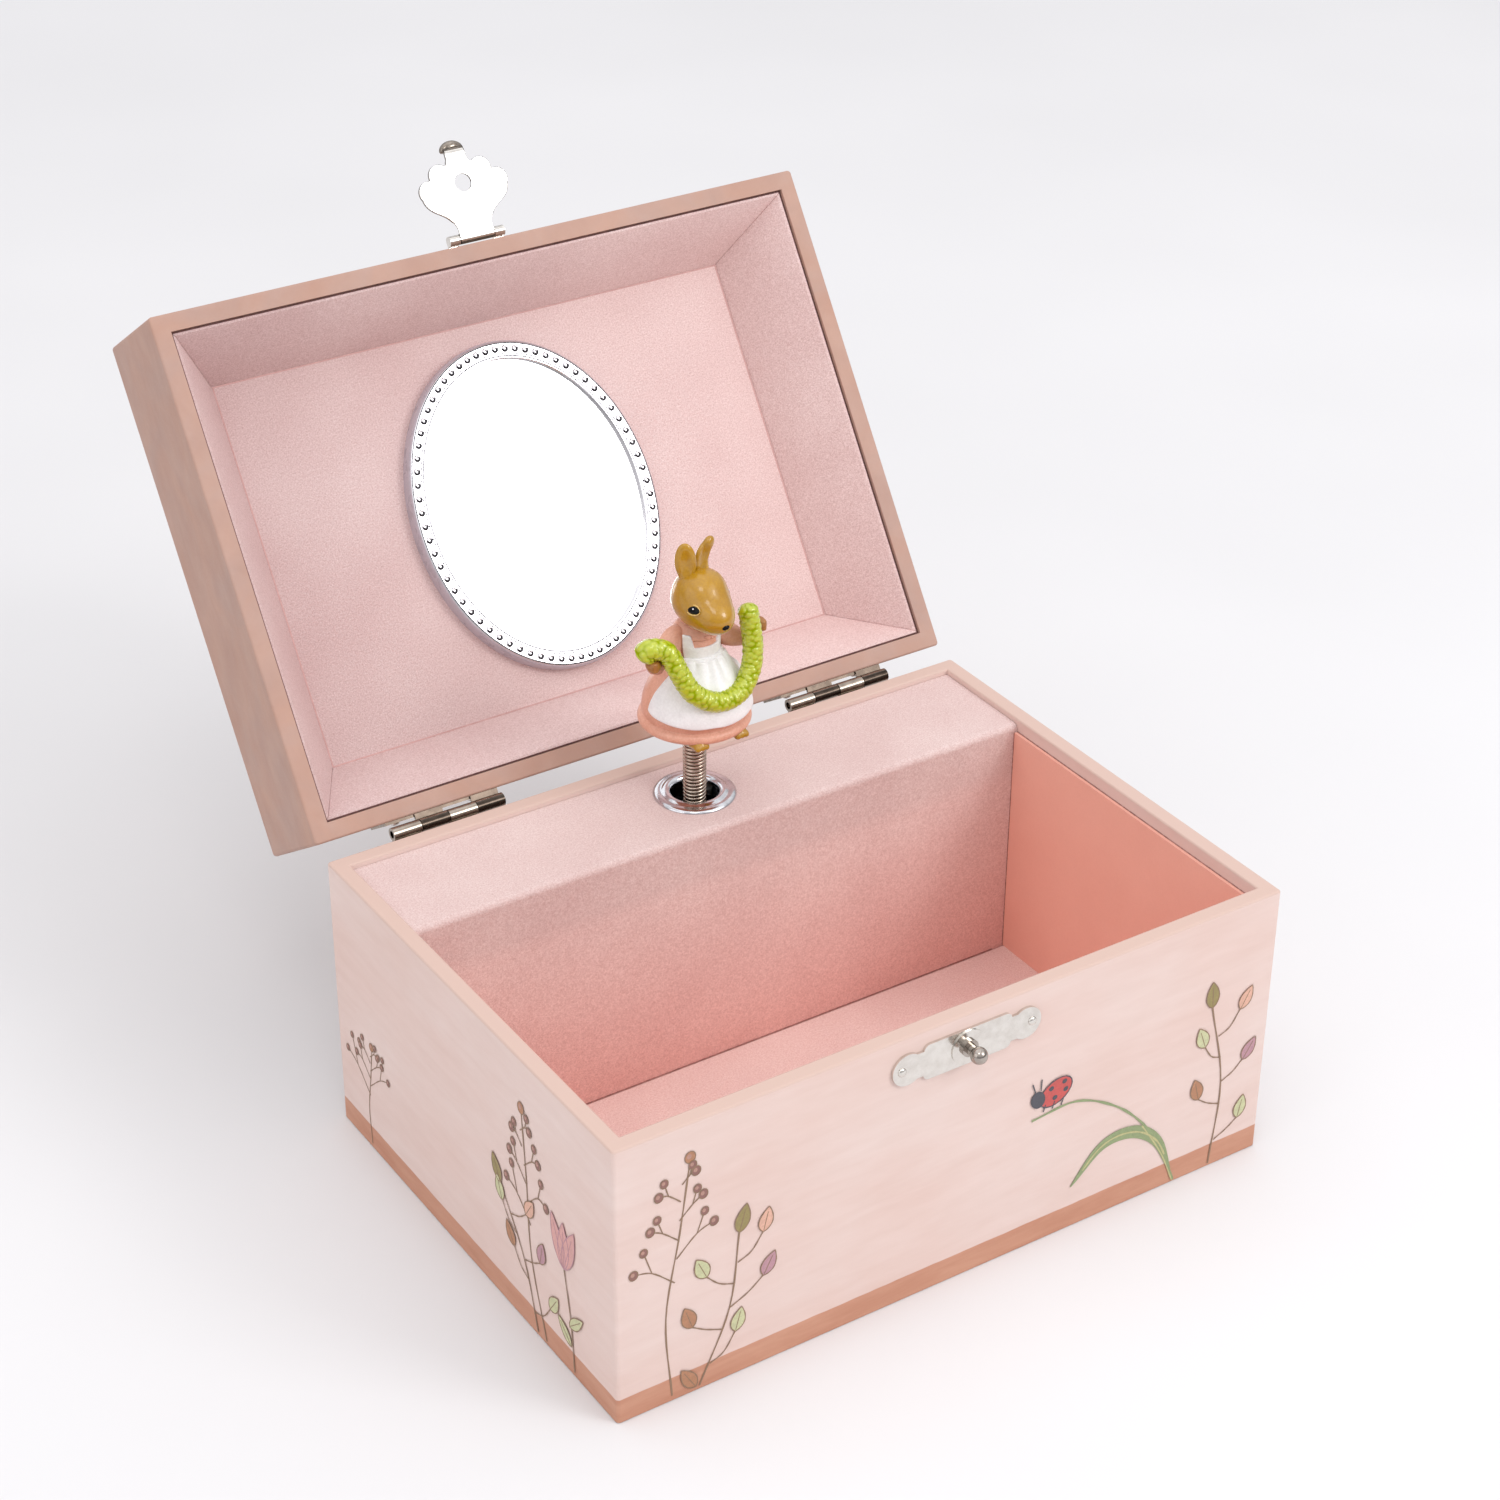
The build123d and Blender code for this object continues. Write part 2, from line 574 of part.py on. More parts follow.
# ---- musical movement ----
def gear_plan(teeth, module, tooth_angle):
    """Plain tapered-tooth gear; one tooth is centred on tooth_angle."""
    root = module * (teeth / 2 - 1.05)
    tip = module * (teeth / 2 + 0.75)
    pitch = 360 / teeth
    points = []
    for tooth in range(teeth):
        middle = tooth_angle + tooth * pitch
        for radius, offset in ((root, -0.30), (tip, -0.12), (tip, 0.12), (root, 0.30)):
            angle = radians(middle + offset * pitch)
            points.append((radius * cos(angle), radius * sin(angle)))
    return Polygon(*points)


def spur(centre, teeth, module, tooth_angle, bottom, top):
    return Pos(centre[0], centre[1], bottom) * extrude(gear_plan(teeth, module, tooth_angle), top - bottom)


def make_bedplate():
    """Cast plate on the back wall with the comb's raised seat."""
    plate = block((-16, 27), (PLATE_FRONT, INNER_Y), (6, 56))
    plate = fillet(plate.edges().filter_by(Axis.Y), 2.0)
    seat_z = (DRUM_BOTTOM, DRUM_TOP + 0.5)
    plate += block((18.5, 26.5), (COMB_FACES[1], PLATE_FRONT + 0.5), seat_z)
    screws = mounting_screws()
    for screw in screws:
        plate -= screw
    for screw in comb_screws():
        plate -= screw
    plate -= rod((0, 40, WHEEL_Z), (0, 60, WHEEL_Z), ARBOR_RADIUS + RUNNING_FIT)
    save("movement_bedplate", plate)
    save("movement_screws", Compound(children=screws + comb_screws()))
    return screws


def mounting_screws():
    """Three pan-head screws through the back wall into the bedplate."""
    screws = []
    for x, z in FIXING_SCREWS:
        shank = rod((x, PLATE_FRONT + 0.4, z), (x, HALF_Y, z), 1.25)
        head = rod((x, HALF_Y, z), (x, HALF_Y + 1.3, z), 2.6, 2.0)
        slot = block((x - 3, x + 3), (HALF_Y + 1.3 - SCREW_SLOT, HALF_Y + 2), (z - 0.35, z + 0.35))
        screws.append(shank + head - slot)
    return screws


def comb_screws():
    screws = []
    face = COMB_FACES[0]
    head_face = face - 1.2
    width = (COMB_SCREW_X - 2.5, COMB_SCREW_X + 2.5)
    for z in COMB_SCREW_Z:
        shank = rod((COMB_SCREW_X, face, z), (COMB_SCREW_X, face + 6.6, z), 0.9)
        head = rod((COMB_SCREW_X, head_face, z), (COMB_SCREW_X, face, z), 1.8)
        slot = block(width, (head_face - 0.2, head_face + SCREW_SLOT), (z - 0.25, z + 0.25))
        screws.append(shank + head - slot)
    return screws


def make_comb():
    """Steel comb: a thick heel under the screws and thin tuned teeth."""
    tip = DRUM_RADIUS + NOTE_PIN + 0.25
    bottom = DRUM_MIDDLE - COMB_TEETH * COMB_PITCH / 2
    top = bottom + COMB_TEETH * COMB_PITCH
    comb = block((18.0, 27.0), COMB_FACES, (bottom, top))
    for tooth in range(COMB_TEETH):
        low = bottom + tooth * COMB_PITCH + 0.1
        comb += block((tip, 18.2), (SPINDLE_Y - 0.4, SPINDLE_Y + 0.4), (low, low + COMB_PITCH - 0.2))
    for screw in comb_screws():
        comb -= screw
    save("comb", comb)


def make_cylinder():
    """Pinned drum with its pinion, train gear and the spindle that carries the spring."""
    foot, collar = 27.3, 53.4
    seat = SPRING_BOTTOM - 0.1
    stub = SPRING_BORE - RUNNING_FIT
    drum = turned([
        (0, foot), (SPINDLE_RADIUS, foot), (SPINDLE_RADIUS, DRUM_BOTTOM), (DRUM_RADIUS, DRUM_BOTTOM),
        (DRUM_RADIUS, DRUM_TOP), (SPINDLE_TOP_RADIUS, DRUM_TOP), (SPINDLE_TOP_RADIUS, collar),
        (2.3, collar), (2.3, seat), (stub, seat), (stub, seat + 3.6), (0, seat + 3.6),
    ])
    bottom = DRUM_MIDDLE - COMB_TEETH * COMB_PITCH / 2
    for track in range(COMB_TEETH):
        height = bottom + (track + 0.5) * COMB_PITCH
        for note in range(NOTES_PER_TRACK):
            angle = radians(track * 47 + note * 113 + 17)
            points = []
            for radius in (DRUM_RADIUS - 0.7, DRUM_RADIUS + NOTE_PIN):
                points.append((radius * cos(angle), SPINDLE_Y + radius * sin(angle), height))
            drum += rod(points[0], points[1], 0.2)
    drum += spur((0, SPINDLE_Y), PINION_TEETH, 0.6, -90, 28.5, DRUM_BOTTOM)
    drum += spur((0, SPINDLE_Y), 40, TRAIN_MODULE, 180, DRUM_TOP + 0.5, DRUM_TOP + 2.1)
    save("pinned_cylinder", drum)


def make_bearings():
    """Lower bearing on the mainspring case and upper bearing bracket on the bedplate."""
    lower = block((-5, 5), (CASE_FRONT, 46.0), (27.2, 28.2))
    save("lower_bearing", lower - SPINDLE * Pos(0, 0, 30) * Cylinder(SPINDLE_RADIUS + RUNNING_FIT, 20))
    x_span = (-3.2, 6)
    upper = block(x_span, (36.8, PLATE_FRONT), (51.2, 52.6))
    upper += block(x_span, (PLATE_FRONT - PLATE_SHEET, PLATE_FRONT), (46.5, 52.6))
    save("upper_bearing", upper - SPINDLE * Pos(0, 0, 52) * Cylinder(SPINDLE_TOP_RADIUS + RUNNING_FIT, 20))


def winding_rod(start_y, end_y, radius, end_radius=None):
    """Round bar on the winding axis."""
    return rod((0, start_y, WHEEL_Z), (0, end_y, WHEEL_Z), radius, end_radius)


def make_mainspring():
    """Case on the bedplate with the coiled mainspring inside."""
    case = winding_rod(CASE_FRONT, PLATE_FRONT, CASE_RADIUS)
    case -= winding_rod(30, PLATE_FRONT - CASE_SHEET, CASE_RADIUS - CASE_SHEET)
    save("mainspring_case", case - winding_rod(30, 60, ARBOR_RADIUS + RUNNING_FIT))
    outer, inner = [], []
    steps = 96
    for step in range(steps + 1):
        share = step / steps
        angle = 2 * pi * COIL_TURNS * share
        radius = 3.0 + 5.2 * share
        for edge, half in ((outer, COIL_STRIP / 2), (inner, -COIL_STRIP / 2)):
            edge.append(((radius + half) * cos(angle), (radius + half) * sin(angle)))
    face = Plane(origin=(0, PLATE_FRONT - 1.6, WHEEL_Z), x_dir=(1, 0, 0), z_dir=(0, -1, 0))
    save("mainspring", extrude(face * Polygon(*outer, *inner[::-1]), 9.0))


def make_great_wheel():
    """Wheel whose face teeth drive the cylinder's pinion from the front."""
    pitch_y = SPINDLE_Y - 3.6
    hub = WHEEL_RADIUS - 0.9
    disc = winding_rod(pitch_y - 2.2, pitch_y - 0.65, WHEEL_RADIUS + 0.9)
    pitch = 2 * pi * WHEEL_RADIUS / WHEEL_TEETH
    profile = [(-0.27 * pitch, 0), (0.27 * pitch, 0), (0.11 * pitch, 1.1), (-0.11 * pitch, 1.1)]
    tooth = extrude(Pos(0, pitch_y - 0.7, hub) * Polygon(*profile), 1.8)
    for index in range(WHEEL_TEETH):
        turn = Rot(0, (index + 0.5) * 360 / WHEEL_TEETH, 0)
        disc += Pos(0, 0, WHEEL_Z) * turn * tooth
    save("great_wheel", disc - winding_rod(20, 60, ARBOR_RADIUS + RUNNING_FIT))


def make_key():
    """Winding arbor through the bedplate and back wall, and the key screwed on it."""
    arbor = winding_rod(32.6, 62.0, ARBOR_RADIUS)
    arbor += winding_rod(32.2, 33.8, 2.6)
    arbor += winding_rod(44.0, 48.0, 2.4)
    key = fillet(winding_rod(57.4, 64.0, 2.9).edges(), 0.5)
    wings = Pos(0, 65.6) * Rectangle(7.0, 6.6)
    for side in (-1, 1):
        wings += Pos(side * 5.2, 67.4) * Circle(4.6)
    key += extrude(Plane(origin=(0, 0, WHEEL_Z - 0.8)) * wings, 1.6)
    save("key_arbor", arbor)
    save("winding_key", key - arbor)


def governor_frame(wheel_at, fly_at):
    low_arm = (GOVERNOR_LOW, GOVERNOR_LOW + 1.0)
    high_arm = (GOVERNOR_HIGH - 1.0, GOVERNOR_HIGH)
    reach = (36.5, PLATE_FRONT)
    frame = block((-21, -8.4), (PLATE_FRONT - PLATE_SHEET, PLATE_FRONT), (GOVERNOR_LOW, GOVERNOR_HIGH))
    frame += block((-21, -8.4), reach, low_arm) + block((-21, -6.5), reach, high_arm)
    for place in (wheel_at, fly_at):
        frame -= Pos(place[0], place[1], 50) * Cylinder(GOVERNOR_ARBOR + RUNNING_FIT, 30)
    return frame


def make_governor():
    """Air-brake governor: frame, intermediate wheel and fly."""
    lean = radians(30)
    wheel_at = (-10.0, SPINDLE_Y)
    fly_at = (wheel_at[0] - GOVERNOR_CENTRES * cos(lean), SPINDLE_Y + GOVERNOR_CENTRES * sin(lean))
    save("governor_frame", governor_frame(wheel_at, fly_at))

    wheel = Pos(*wheel_at, 50.5) * Cylinder(GOVERNOR_ARBOR, 7.0)
    wheel += spur(wheel_at, 10, TRAIN_MODULE, 18, 48.9, 50.8)
    wheel += spur(wheel_at, 28, TRAIN_MODULE, 150, 51.3, 52.3)
    wheel += Pos(*wheel_at, 51.0) * Cylinder(1.3, 1.0)
    save("governor_wheel", wheel)

    fly = Pos(*fly_at, 52.2) * Cylinder(GOVERNOR_ARBOR, 10.4)
    fly += spur(fly_at, 8, TRAIN_MODULE, 330 + 22.5, 51.1, 52.5)
    fly += Pos(*fly_at, 56.0) * Rot(0, 0, 20) * Box(7.4, 0.6, 2.8)
    save("governor_fly", fly)


# ---- build ----
latch_pins, latch_stud = make_latch()
hinge_body_pins, hinge_lid_pins = make_hinges()
bedplate_screws = make_bedplate()
arbor_hole = rod((0, 50, WHEEL_Z), (0, 60, WHEEL_Z), 4.0)
make_walls({"front": latch_pins + [latch_stud], "back": hinge_body_pins + bedplate_screws + [arbor_hole]})
make_linings()
make_music_cover()
make_eyelet()
hasp_plate_pins = make_hasp()
make_lid(hinge_lid_pins, hasp_plate_pins)
save("body_pins", Compound(children=latch_pins + hinge_body_pins))
save("lid_pins", open_lid(Compound(children=hinge_lid_pins + hasp_plate_pins)))
make_lid_lining()
make_mirror()
make_spring()
make_figure()
make_comb()
make_cylinder()
make_bearings()
make_mainspring()
make_great_wheel()
make_key()
make_governor()

for name, shape in pieces.items():
    export_step(shape, os.path.join("parts", name + ".step"))
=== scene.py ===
import json
import random
from collections import Counter
from math import cos, pi, radians, sin, tau

import bmesh
import bpy
import numpy as np
from mathutils import Matrix, Vector


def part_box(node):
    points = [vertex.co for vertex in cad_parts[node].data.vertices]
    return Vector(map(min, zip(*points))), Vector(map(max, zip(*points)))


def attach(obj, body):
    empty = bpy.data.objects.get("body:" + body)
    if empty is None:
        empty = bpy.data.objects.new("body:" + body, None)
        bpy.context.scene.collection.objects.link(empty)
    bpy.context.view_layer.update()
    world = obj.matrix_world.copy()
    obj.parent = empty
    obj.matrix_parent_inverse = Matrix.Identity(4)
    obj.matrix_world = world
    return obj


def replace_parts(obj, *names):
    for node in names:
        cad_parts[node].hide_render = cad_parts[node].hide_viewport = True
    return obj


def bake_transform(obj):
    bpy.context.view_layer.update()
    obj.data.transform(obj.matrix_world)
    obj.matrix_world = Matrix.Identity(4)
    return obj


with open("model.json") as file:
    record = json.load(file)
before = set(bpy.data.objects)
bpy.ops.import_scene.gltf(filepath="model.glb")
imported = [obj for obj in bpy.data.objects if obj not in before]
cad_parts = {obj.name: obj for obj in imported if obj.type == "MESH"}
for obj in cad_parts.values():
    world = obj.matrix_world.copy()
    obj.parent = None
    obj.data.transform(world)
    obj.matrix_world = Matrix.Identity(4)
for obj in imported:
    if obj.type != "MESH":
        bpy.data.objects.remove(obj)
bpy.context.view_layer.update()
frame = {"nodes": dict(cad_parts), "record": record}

# Looks of a musical jewellery box. Shapes are worked out in millimetres in the CAD frame
# (X right, Y back, Z up) and scaled once, when each mesh is made. Lid shapes are drawn with the
# lid shut, and turned open with it.
MM = 0.001
RECORD = frame["record"]
JOINTS = {joint["name"]: joint for joint in RECORD["behaviour"]["joints"]}
scene = bpy.context.scene
scene.view_settings.view_transform = "Standard"


# ---- places taken from the CAD ----
def node_mesh(name):
    return frame["nodes"][name].data


def node_box(name):
    """A CAD node's box in millimetres."""
    low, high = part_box(name)
    return low / MM, high / MM


def joint_place(name):
    return Vector(JOINTS[name]["pos_m"]) / MM


def shut_box(name):
    """A lid node's box in millimetres, with the lid turned shut."""
    points = [SHUT_LID @ (vertex.co / MM) for vertex in node_mesh(name).vertices]
    low = Vector([min(point[axis] for point in points) for axis in range(3)])
    high = Vector([max(point[axis] for point in points) for axis in range(3)])
    return low, high


HINGE = joint_place("lid_hinge")
OPEN_ANGLE = radians(JOINTS["lid_hinge"]["range_deg"][1])
SPINDLE = joint_place("figure_spin")
OPEN_LID = Matrix.Translation(HINGE) @ Matrix.Rotation(-OPEN_ANGLE, 4, "X") @ Matrix.Translation(-HINGE)
SHUT_LID = OPEN_LID.inverted()
FRONT_Y = node_box("wall_front")[0].y
LEFT_X = node_box("wall_left")[0].x
RIM_Z = node_box("wall_front")[1].z


# ---- shader helpers: sizes are in millimetres, colours from 0 to 255 ----
def rgb(red, green, blue):
    """Shader colour from the usual 0 to 255 values."""
    channels = [value / 255 for value in (red, green, blue)]
    linear = [c / 12.92 if c <= 0.04045 else ((c + 0.055) / 1.055) ** 2.4 for c in channels]
    return (*linear, 1.0)


def add_node(tree, kind, inputs=None, **settings):
    made = tree.nodes.new(kind)
    for key, value in settings.items():
        setattr(made, key, value)
    for key, value in (inputs or {}).items():
        if isinstance(value, bpy.types.NodeSocket):
            tree.links.new(value, made.inputs[key])
        else:
            made.inputs[key].default_value = value
    return made


def new_material(name, **values):
    """New material with some shader inputs set, such as coat_weight."""
    made = bpy.data.materials.new(name)
    made.use_nodes = True
    shader = made.node_tree.nodes["Principled BSDF"]
    for key, value in values.items():
        shader.inputs[key.replace("_", " ").title().replace("Ior", "IOR")].default_value = value
    return made, made.node_tree, shader


def wire(shader, key, value):
    shader.id_data.links.new(value, shader.inputs[key])


def object_vector(tree, stretch=(1, 1, 1), lid=False):
    """Object coordinates, stretched; on the lid they are turned back to the shut lid."""
    vector = add_node(tree, "ShaderNodeTexCoord").outputs["Object"]
    if lid:
        shift = SHUT_LID.to_translation() * MM
        turn = {"Vector": vector, "Rotation": (OPEN_ANGLE, 0, 0), "Location": shift}
        vector = add_node(tree, "ShaderNodeMapping", turn).outputs[0]
    if stretch != (1, 1, 1):
        vector = add_node(tree, "ShaderNodeMapping", {"Vector": vector, "Scale": stretch}).outputs[0]
    return vector


def noise_at(tree, vector, size, detail=3.0, roughness=0.55, distortion=0.0):
    inputs = {"Vector": vector, "Scale": 1 / MM / size, "Detail": detail, "Roughness": roughness}
    inputs["Distortion"] = distortion
    return add_node(tree, "ShaderNodeTexNoise", inputs).outputs[0]


def remap(tree, value, low, high, to_low=0.0, to_high=1.0):
    inputs = {0: value, 1: low, 2: high, 3: to_low, 4: to_high}
    return add_node(tree, "ShaderNodeMapRange", inputs).outputs[0]


def mix(tree, factor, first, second, how="MIX"):
    inputs = {0: factor, 6: first, 7: second}
    return add_node(tree, "ShaderNodeMix", inputs, data_type="RGBA", blend_type=how).outputs[2]


def tones(tree, factor, dark, light):
    return mix(tree, factor, rgb(*dark), rgb(*light))


def multiply(tree, first, second):
    return mix(tree, 1.0, first, second, "MULTIPLY")


def height_in(tree, vector, axis=2):
    """One axis of a vector, in metres."""
    return add_node(tree, "ShaderNodeSeparateXYZ", {0: vector}).outputs[axis]


def add_bump(tree, shader, height, strength, depth):
    inputs = {"Height": height, "Strength": strength, "Distance": depth * MM}
    wire(shader, "Normal", add_node(tree, "ShaderNodeBump", inputs).outputs[0])


# ---- kinds of material ----
WHITE = (255, 255, 255)
FAINT_PINK = (246, 240, 240)
PAPER_TOOTH = 0.35


def surface(name, dark, light, coarse, fine, relief, stretch=(1, 1, 1), lid=False, swing=0.06, **values):
    """General worn surface: a coarse mottle and a fine grain between two colours, with relief."""
    made, tree, shader = new_material(name, **values)
    vector = object_vector(tree, stretch, lid)
    mottle = noise_at(tree, vector, coarse, 4.0, 0.6, 0.4)
    grain = noise_at(tree, vector, fine, 3.0, 0.7)
    both = add_node(tree, "ShaderNodeMath", {0: mottle, 1: grain}, operation="ADD").outputs[0]
    wire(shader, "Base Color", tones(tree, remap(tree, both, 0.75, 1.25), dark, light))
    base = values["roughness"]
    wire(shader, "Roughness", remap(tree, mottle, 0.3, 0.7, base - swing, base + swing))
    add_bump(tree, shader, grain, *relief)
    return made


def flock_material(name, dark, light, lid=False, light_tints=()):
    """Flocking: speckled short fibres, brushed slightly lighter and darker, with painted light and shade laid
    on by the tints.
    """
    sheen = {"sheen_weight": 0.35, "sheen_roughness": 0.45, "sheen_tint": rgb(255, 226, 222)}
    made, tree, shader = new_material(name, roughness=0.95, specular_ior_level=0.15, **sheen)
    vector = object_vector(tree, lid=lid)
    fibres = noise_at(tree, vector, 0.34, 3.0, 0.78)
    clumps = noise_at(tree, vector, 0.8, 3.0, 0.65)
    brushed = noise_at(tree, vector, 26, 2.0, 0.5)
    colour = tones(tree, remap(tree, fibres, 0.33, 0.67), dark, light)
    colour = multiply(tree, colour, tones(tree, remap(tree, clumps, 0.25, 0.75), FAINT_PINK, WHITE))
    colour = multiply(tree, colour, tones(tree, remap(tree, brushed, 0.3, 0.7), FAINT_PINK, WHITE))
    # painted light and shade: each tint multiplies the colour across a span of one axis
    for axis, start, end, tint in light_tints:
        share = remap(tree, height_in(tree, vector, axis), start * MM, end * MM)
        colour = mix(tree, share, colour, multiply(tree, colour, rgb(*tint)))
    wire(shader, "Base Color", colour)
    add_bump(tree, shader, fibres, 0.55, 0.22)
    return made


def add_paper_tooth(tree, shader, vector, smooth, rough):
    """Fine tooth of printed paper, in roughness and relief."""
    tooth = noise_at(tree, vector, PAPER_TOOTH, 2.0, 0.6)
    wire(shader, "Roughness", remap(tree, tooth, 0.3, 0.7, smooth, rough))
    add_bump(tree, shader, tooth, 0.12, 0.08)


def body_paper():
    """Printed paper of the body: pale pink with a faint brushed wash, and a brown-pink foot band."""
    made, tree, shader = new_material("printed_body_paper", specular_ior_level=0.35)
    vector = object_vector(tree)
    streaks = noise_at(tree, object_vector(tree, (0.16, 0.16, 1.0)), 2.6, 4.0, 0.62, 0.3)
    patches = noise_at(tree, object_vector(tree, (0.5, 0.5, 1.0)), 22, 3.0, 0.55)
    wash = tones(tree, remap(tree, streaks, 0.3, 0.72), (225, 202, 194), (230, 209, 202))
    tint = tones(tree, remap(tree, patches, 0.3, 0.7), (251, 243, 240), WHITE)
    band = tones(tree, remap(tree, streaks, 0.3, 0.7), (192, 136, 111), (204, 152, 127))
    height = height_in(tree, vector)
    wobble = {0: noise_at(tree, vector, 6, 2.0), 1: BAND_WOBBLE * MM, 2: height}
    edge = add_node(tree, "ShaderNodeMath", wobble, operation="MULTIPLY_ADD").outputs[0]
    above = remap(tree, edge, (BAND_TOP + 0.12) * MM, (BAND_TOP + 0.28) * MM)
    whole = mix(tree, above, band, multiply(tree, wash, tint))
    rim = remap(tree, height, (RIM_Z - 0.55) * MM, (RIM_Z - 0.2) * MM)
    wire(shader, "Base Color", mix(tree, rim, whole, rgb(208, 180, 168)))
    add_paper_tooth(tree, shader, vector, 0.52, 0.62)
    return made


def lid_paper():
    """Printed paper of the lid: rose tan with long brushed streaks and cloudy patches."""
    made, tree, shader = new_material("printed_lid_paper", specular_ior_level=0.35)
    along = noise_at(tree, object_vector(tree, (0.45, 0.45, 1.0), True), 4.5, 4.0, 0.55, 0.3)
    clouds = noise_at(tree, object_vector(tree, (0.8, 0.8, 1.0), True), 14, 4.0, 0.6, 0.8)
    streaked = tones(tree, remap(tree, along, 0.2, 0.8), (181, 146, 132), (193, 161, 148))
    cloudy = tones(tree, remap(tree, clouds, 0.3, 0.7), (255, 242, 232), (242, 242, 244))
    wire(shader, "Base Color", mix(tree, 0.75, streaked, cloudy, "MULTIPLY"))
    add_paper_tooth(tree, shader, object_vector(tree, lid=True), 0.5, 0.6)
    return made


def metal(name, dark, light, roughness, scratch=(0.05, 0.02)):
    """Bright metal with fine rubbing marks and uneven polish."""
    made, tree, shader = new_material(name, metallic=1.0)
    cloud = noise_at(tree, object_vector(tree), 2.2, 4.0, 0.6)
    rubs = noise_at(tree, object_vector(tree, (0.1, 1.0, 1.0)), 0.25, 2.0, 0.6)
    wire(shader, "Base Color", tones(tree, remap(tree, cloud, 0.35, 0.65), dark, light))
    wire(shader, "Roughness", remap(tree, cloud, 0.3, 0.7, roughness * 0.85, roughness * 1.15))
    add_bump(tree, shader, rubs, *scratch)
    return made


def plate_metal(name, flat_way, face, edge, roughness):
    """Sheet metal with one colour on its flat faces and another on its barrels and cut edges, chosen by the
    direction each face looks; used to paint shade on the flat faces.
    """
    made = metal(name, *face, roughness, SMOOTH_METAL)
    tree = made.node_tree
    shader = tree.nodes["Principled BSDF"]
    ways = {0: add_node(tree, "ShaderNodeTexCoord").outputs["Normal"], 1: flat_way}
    facing = add_node(tree, "ShaderNodeVectorMath", ways, operation="DOT_PRODUCT").outputs["Value"]
    size = add_node(tree, "ShaderNodeMath", {0: facing}, operation="ABSOLUTE").outputs[0]
    base = shader.inputs["Base Color"].links[0].from_socket
    cut = tones(tree, remap(tree, noise_at(tree, object_vector(tree), 0.8, 2.0), 0.3, 0.7), *edge)
    wire(shader, "Base Color", mix(tree, remap(tree, size, 0.6, 0.8), cut, base))
    return made


def lumpy_material(name, dark, light, **values):
    """Paint lighter on the lumps and darker in the hollows, by the mesh's own lump value: painted highlight
    and painted shade.
    """
    made, tree, shader = new_material(name, **values)
    height = add_node(tree, "ShaderNodeAttribute", attribute_name="lump").outputs["Fac"]
    vector = object_vector(tree)
    drift = {0: noise_at(tree, vector, 3.5, 3.0), 1: 0.5, 2: height}
    uneven = add_node(tree, "ShaderNodeMath", drift, operation="MULTIPLY_ADD").outputs[0]
    # painted highlight on the lumps and painted shade in the hollows, with a random drift
    wire(shader, "Base Color", tones(tree, remap(tree, uneven, 0.25, 1.05), dark, light))
    wire(shader, "Specular IOR Level", remap(tree, height, 0.1, 0.6, 0.02, 0.7))
    wire(shader, "Coat Weight", remap(tree, height, 0.2, 0.7, 0.0, 0.8))
    add_bump(tree, shader, noise_at(tree, vector, 0.5, 2.0), 0.15, 0.1)
    return made


# ---- materials ----
BAND_TOP = 5.5
BAND_WOBBLE = 0.4
SMOOTH_METAL = (0.02, 0.01)
NO_RELIEF = (0.0, 0.01)
GLOSSY_PAINT = {"swing": 0.03, "specular_ior_level": 0.25, "coat_weight": 1.0, "coat_roughness": 0.14}
SATIN_PAINT = {"swing": 0.05, "coat_weight": 0.12, "coat_roughness": 0.3}
# painted light and shade on the flocking, as (axis, from, to, tint): on the cover a painted warm bounce light
# low down and painted shade on its top; on the lid, painted shade towards the left
COVER_LIGHT_TINTS = [(2, 46, 8, (252, 226, 222)), (2, 48, 52, (246, 249, 250))]
LID_SHADE_TINTS = [(0, 30, -60, (237, 235, 236))]

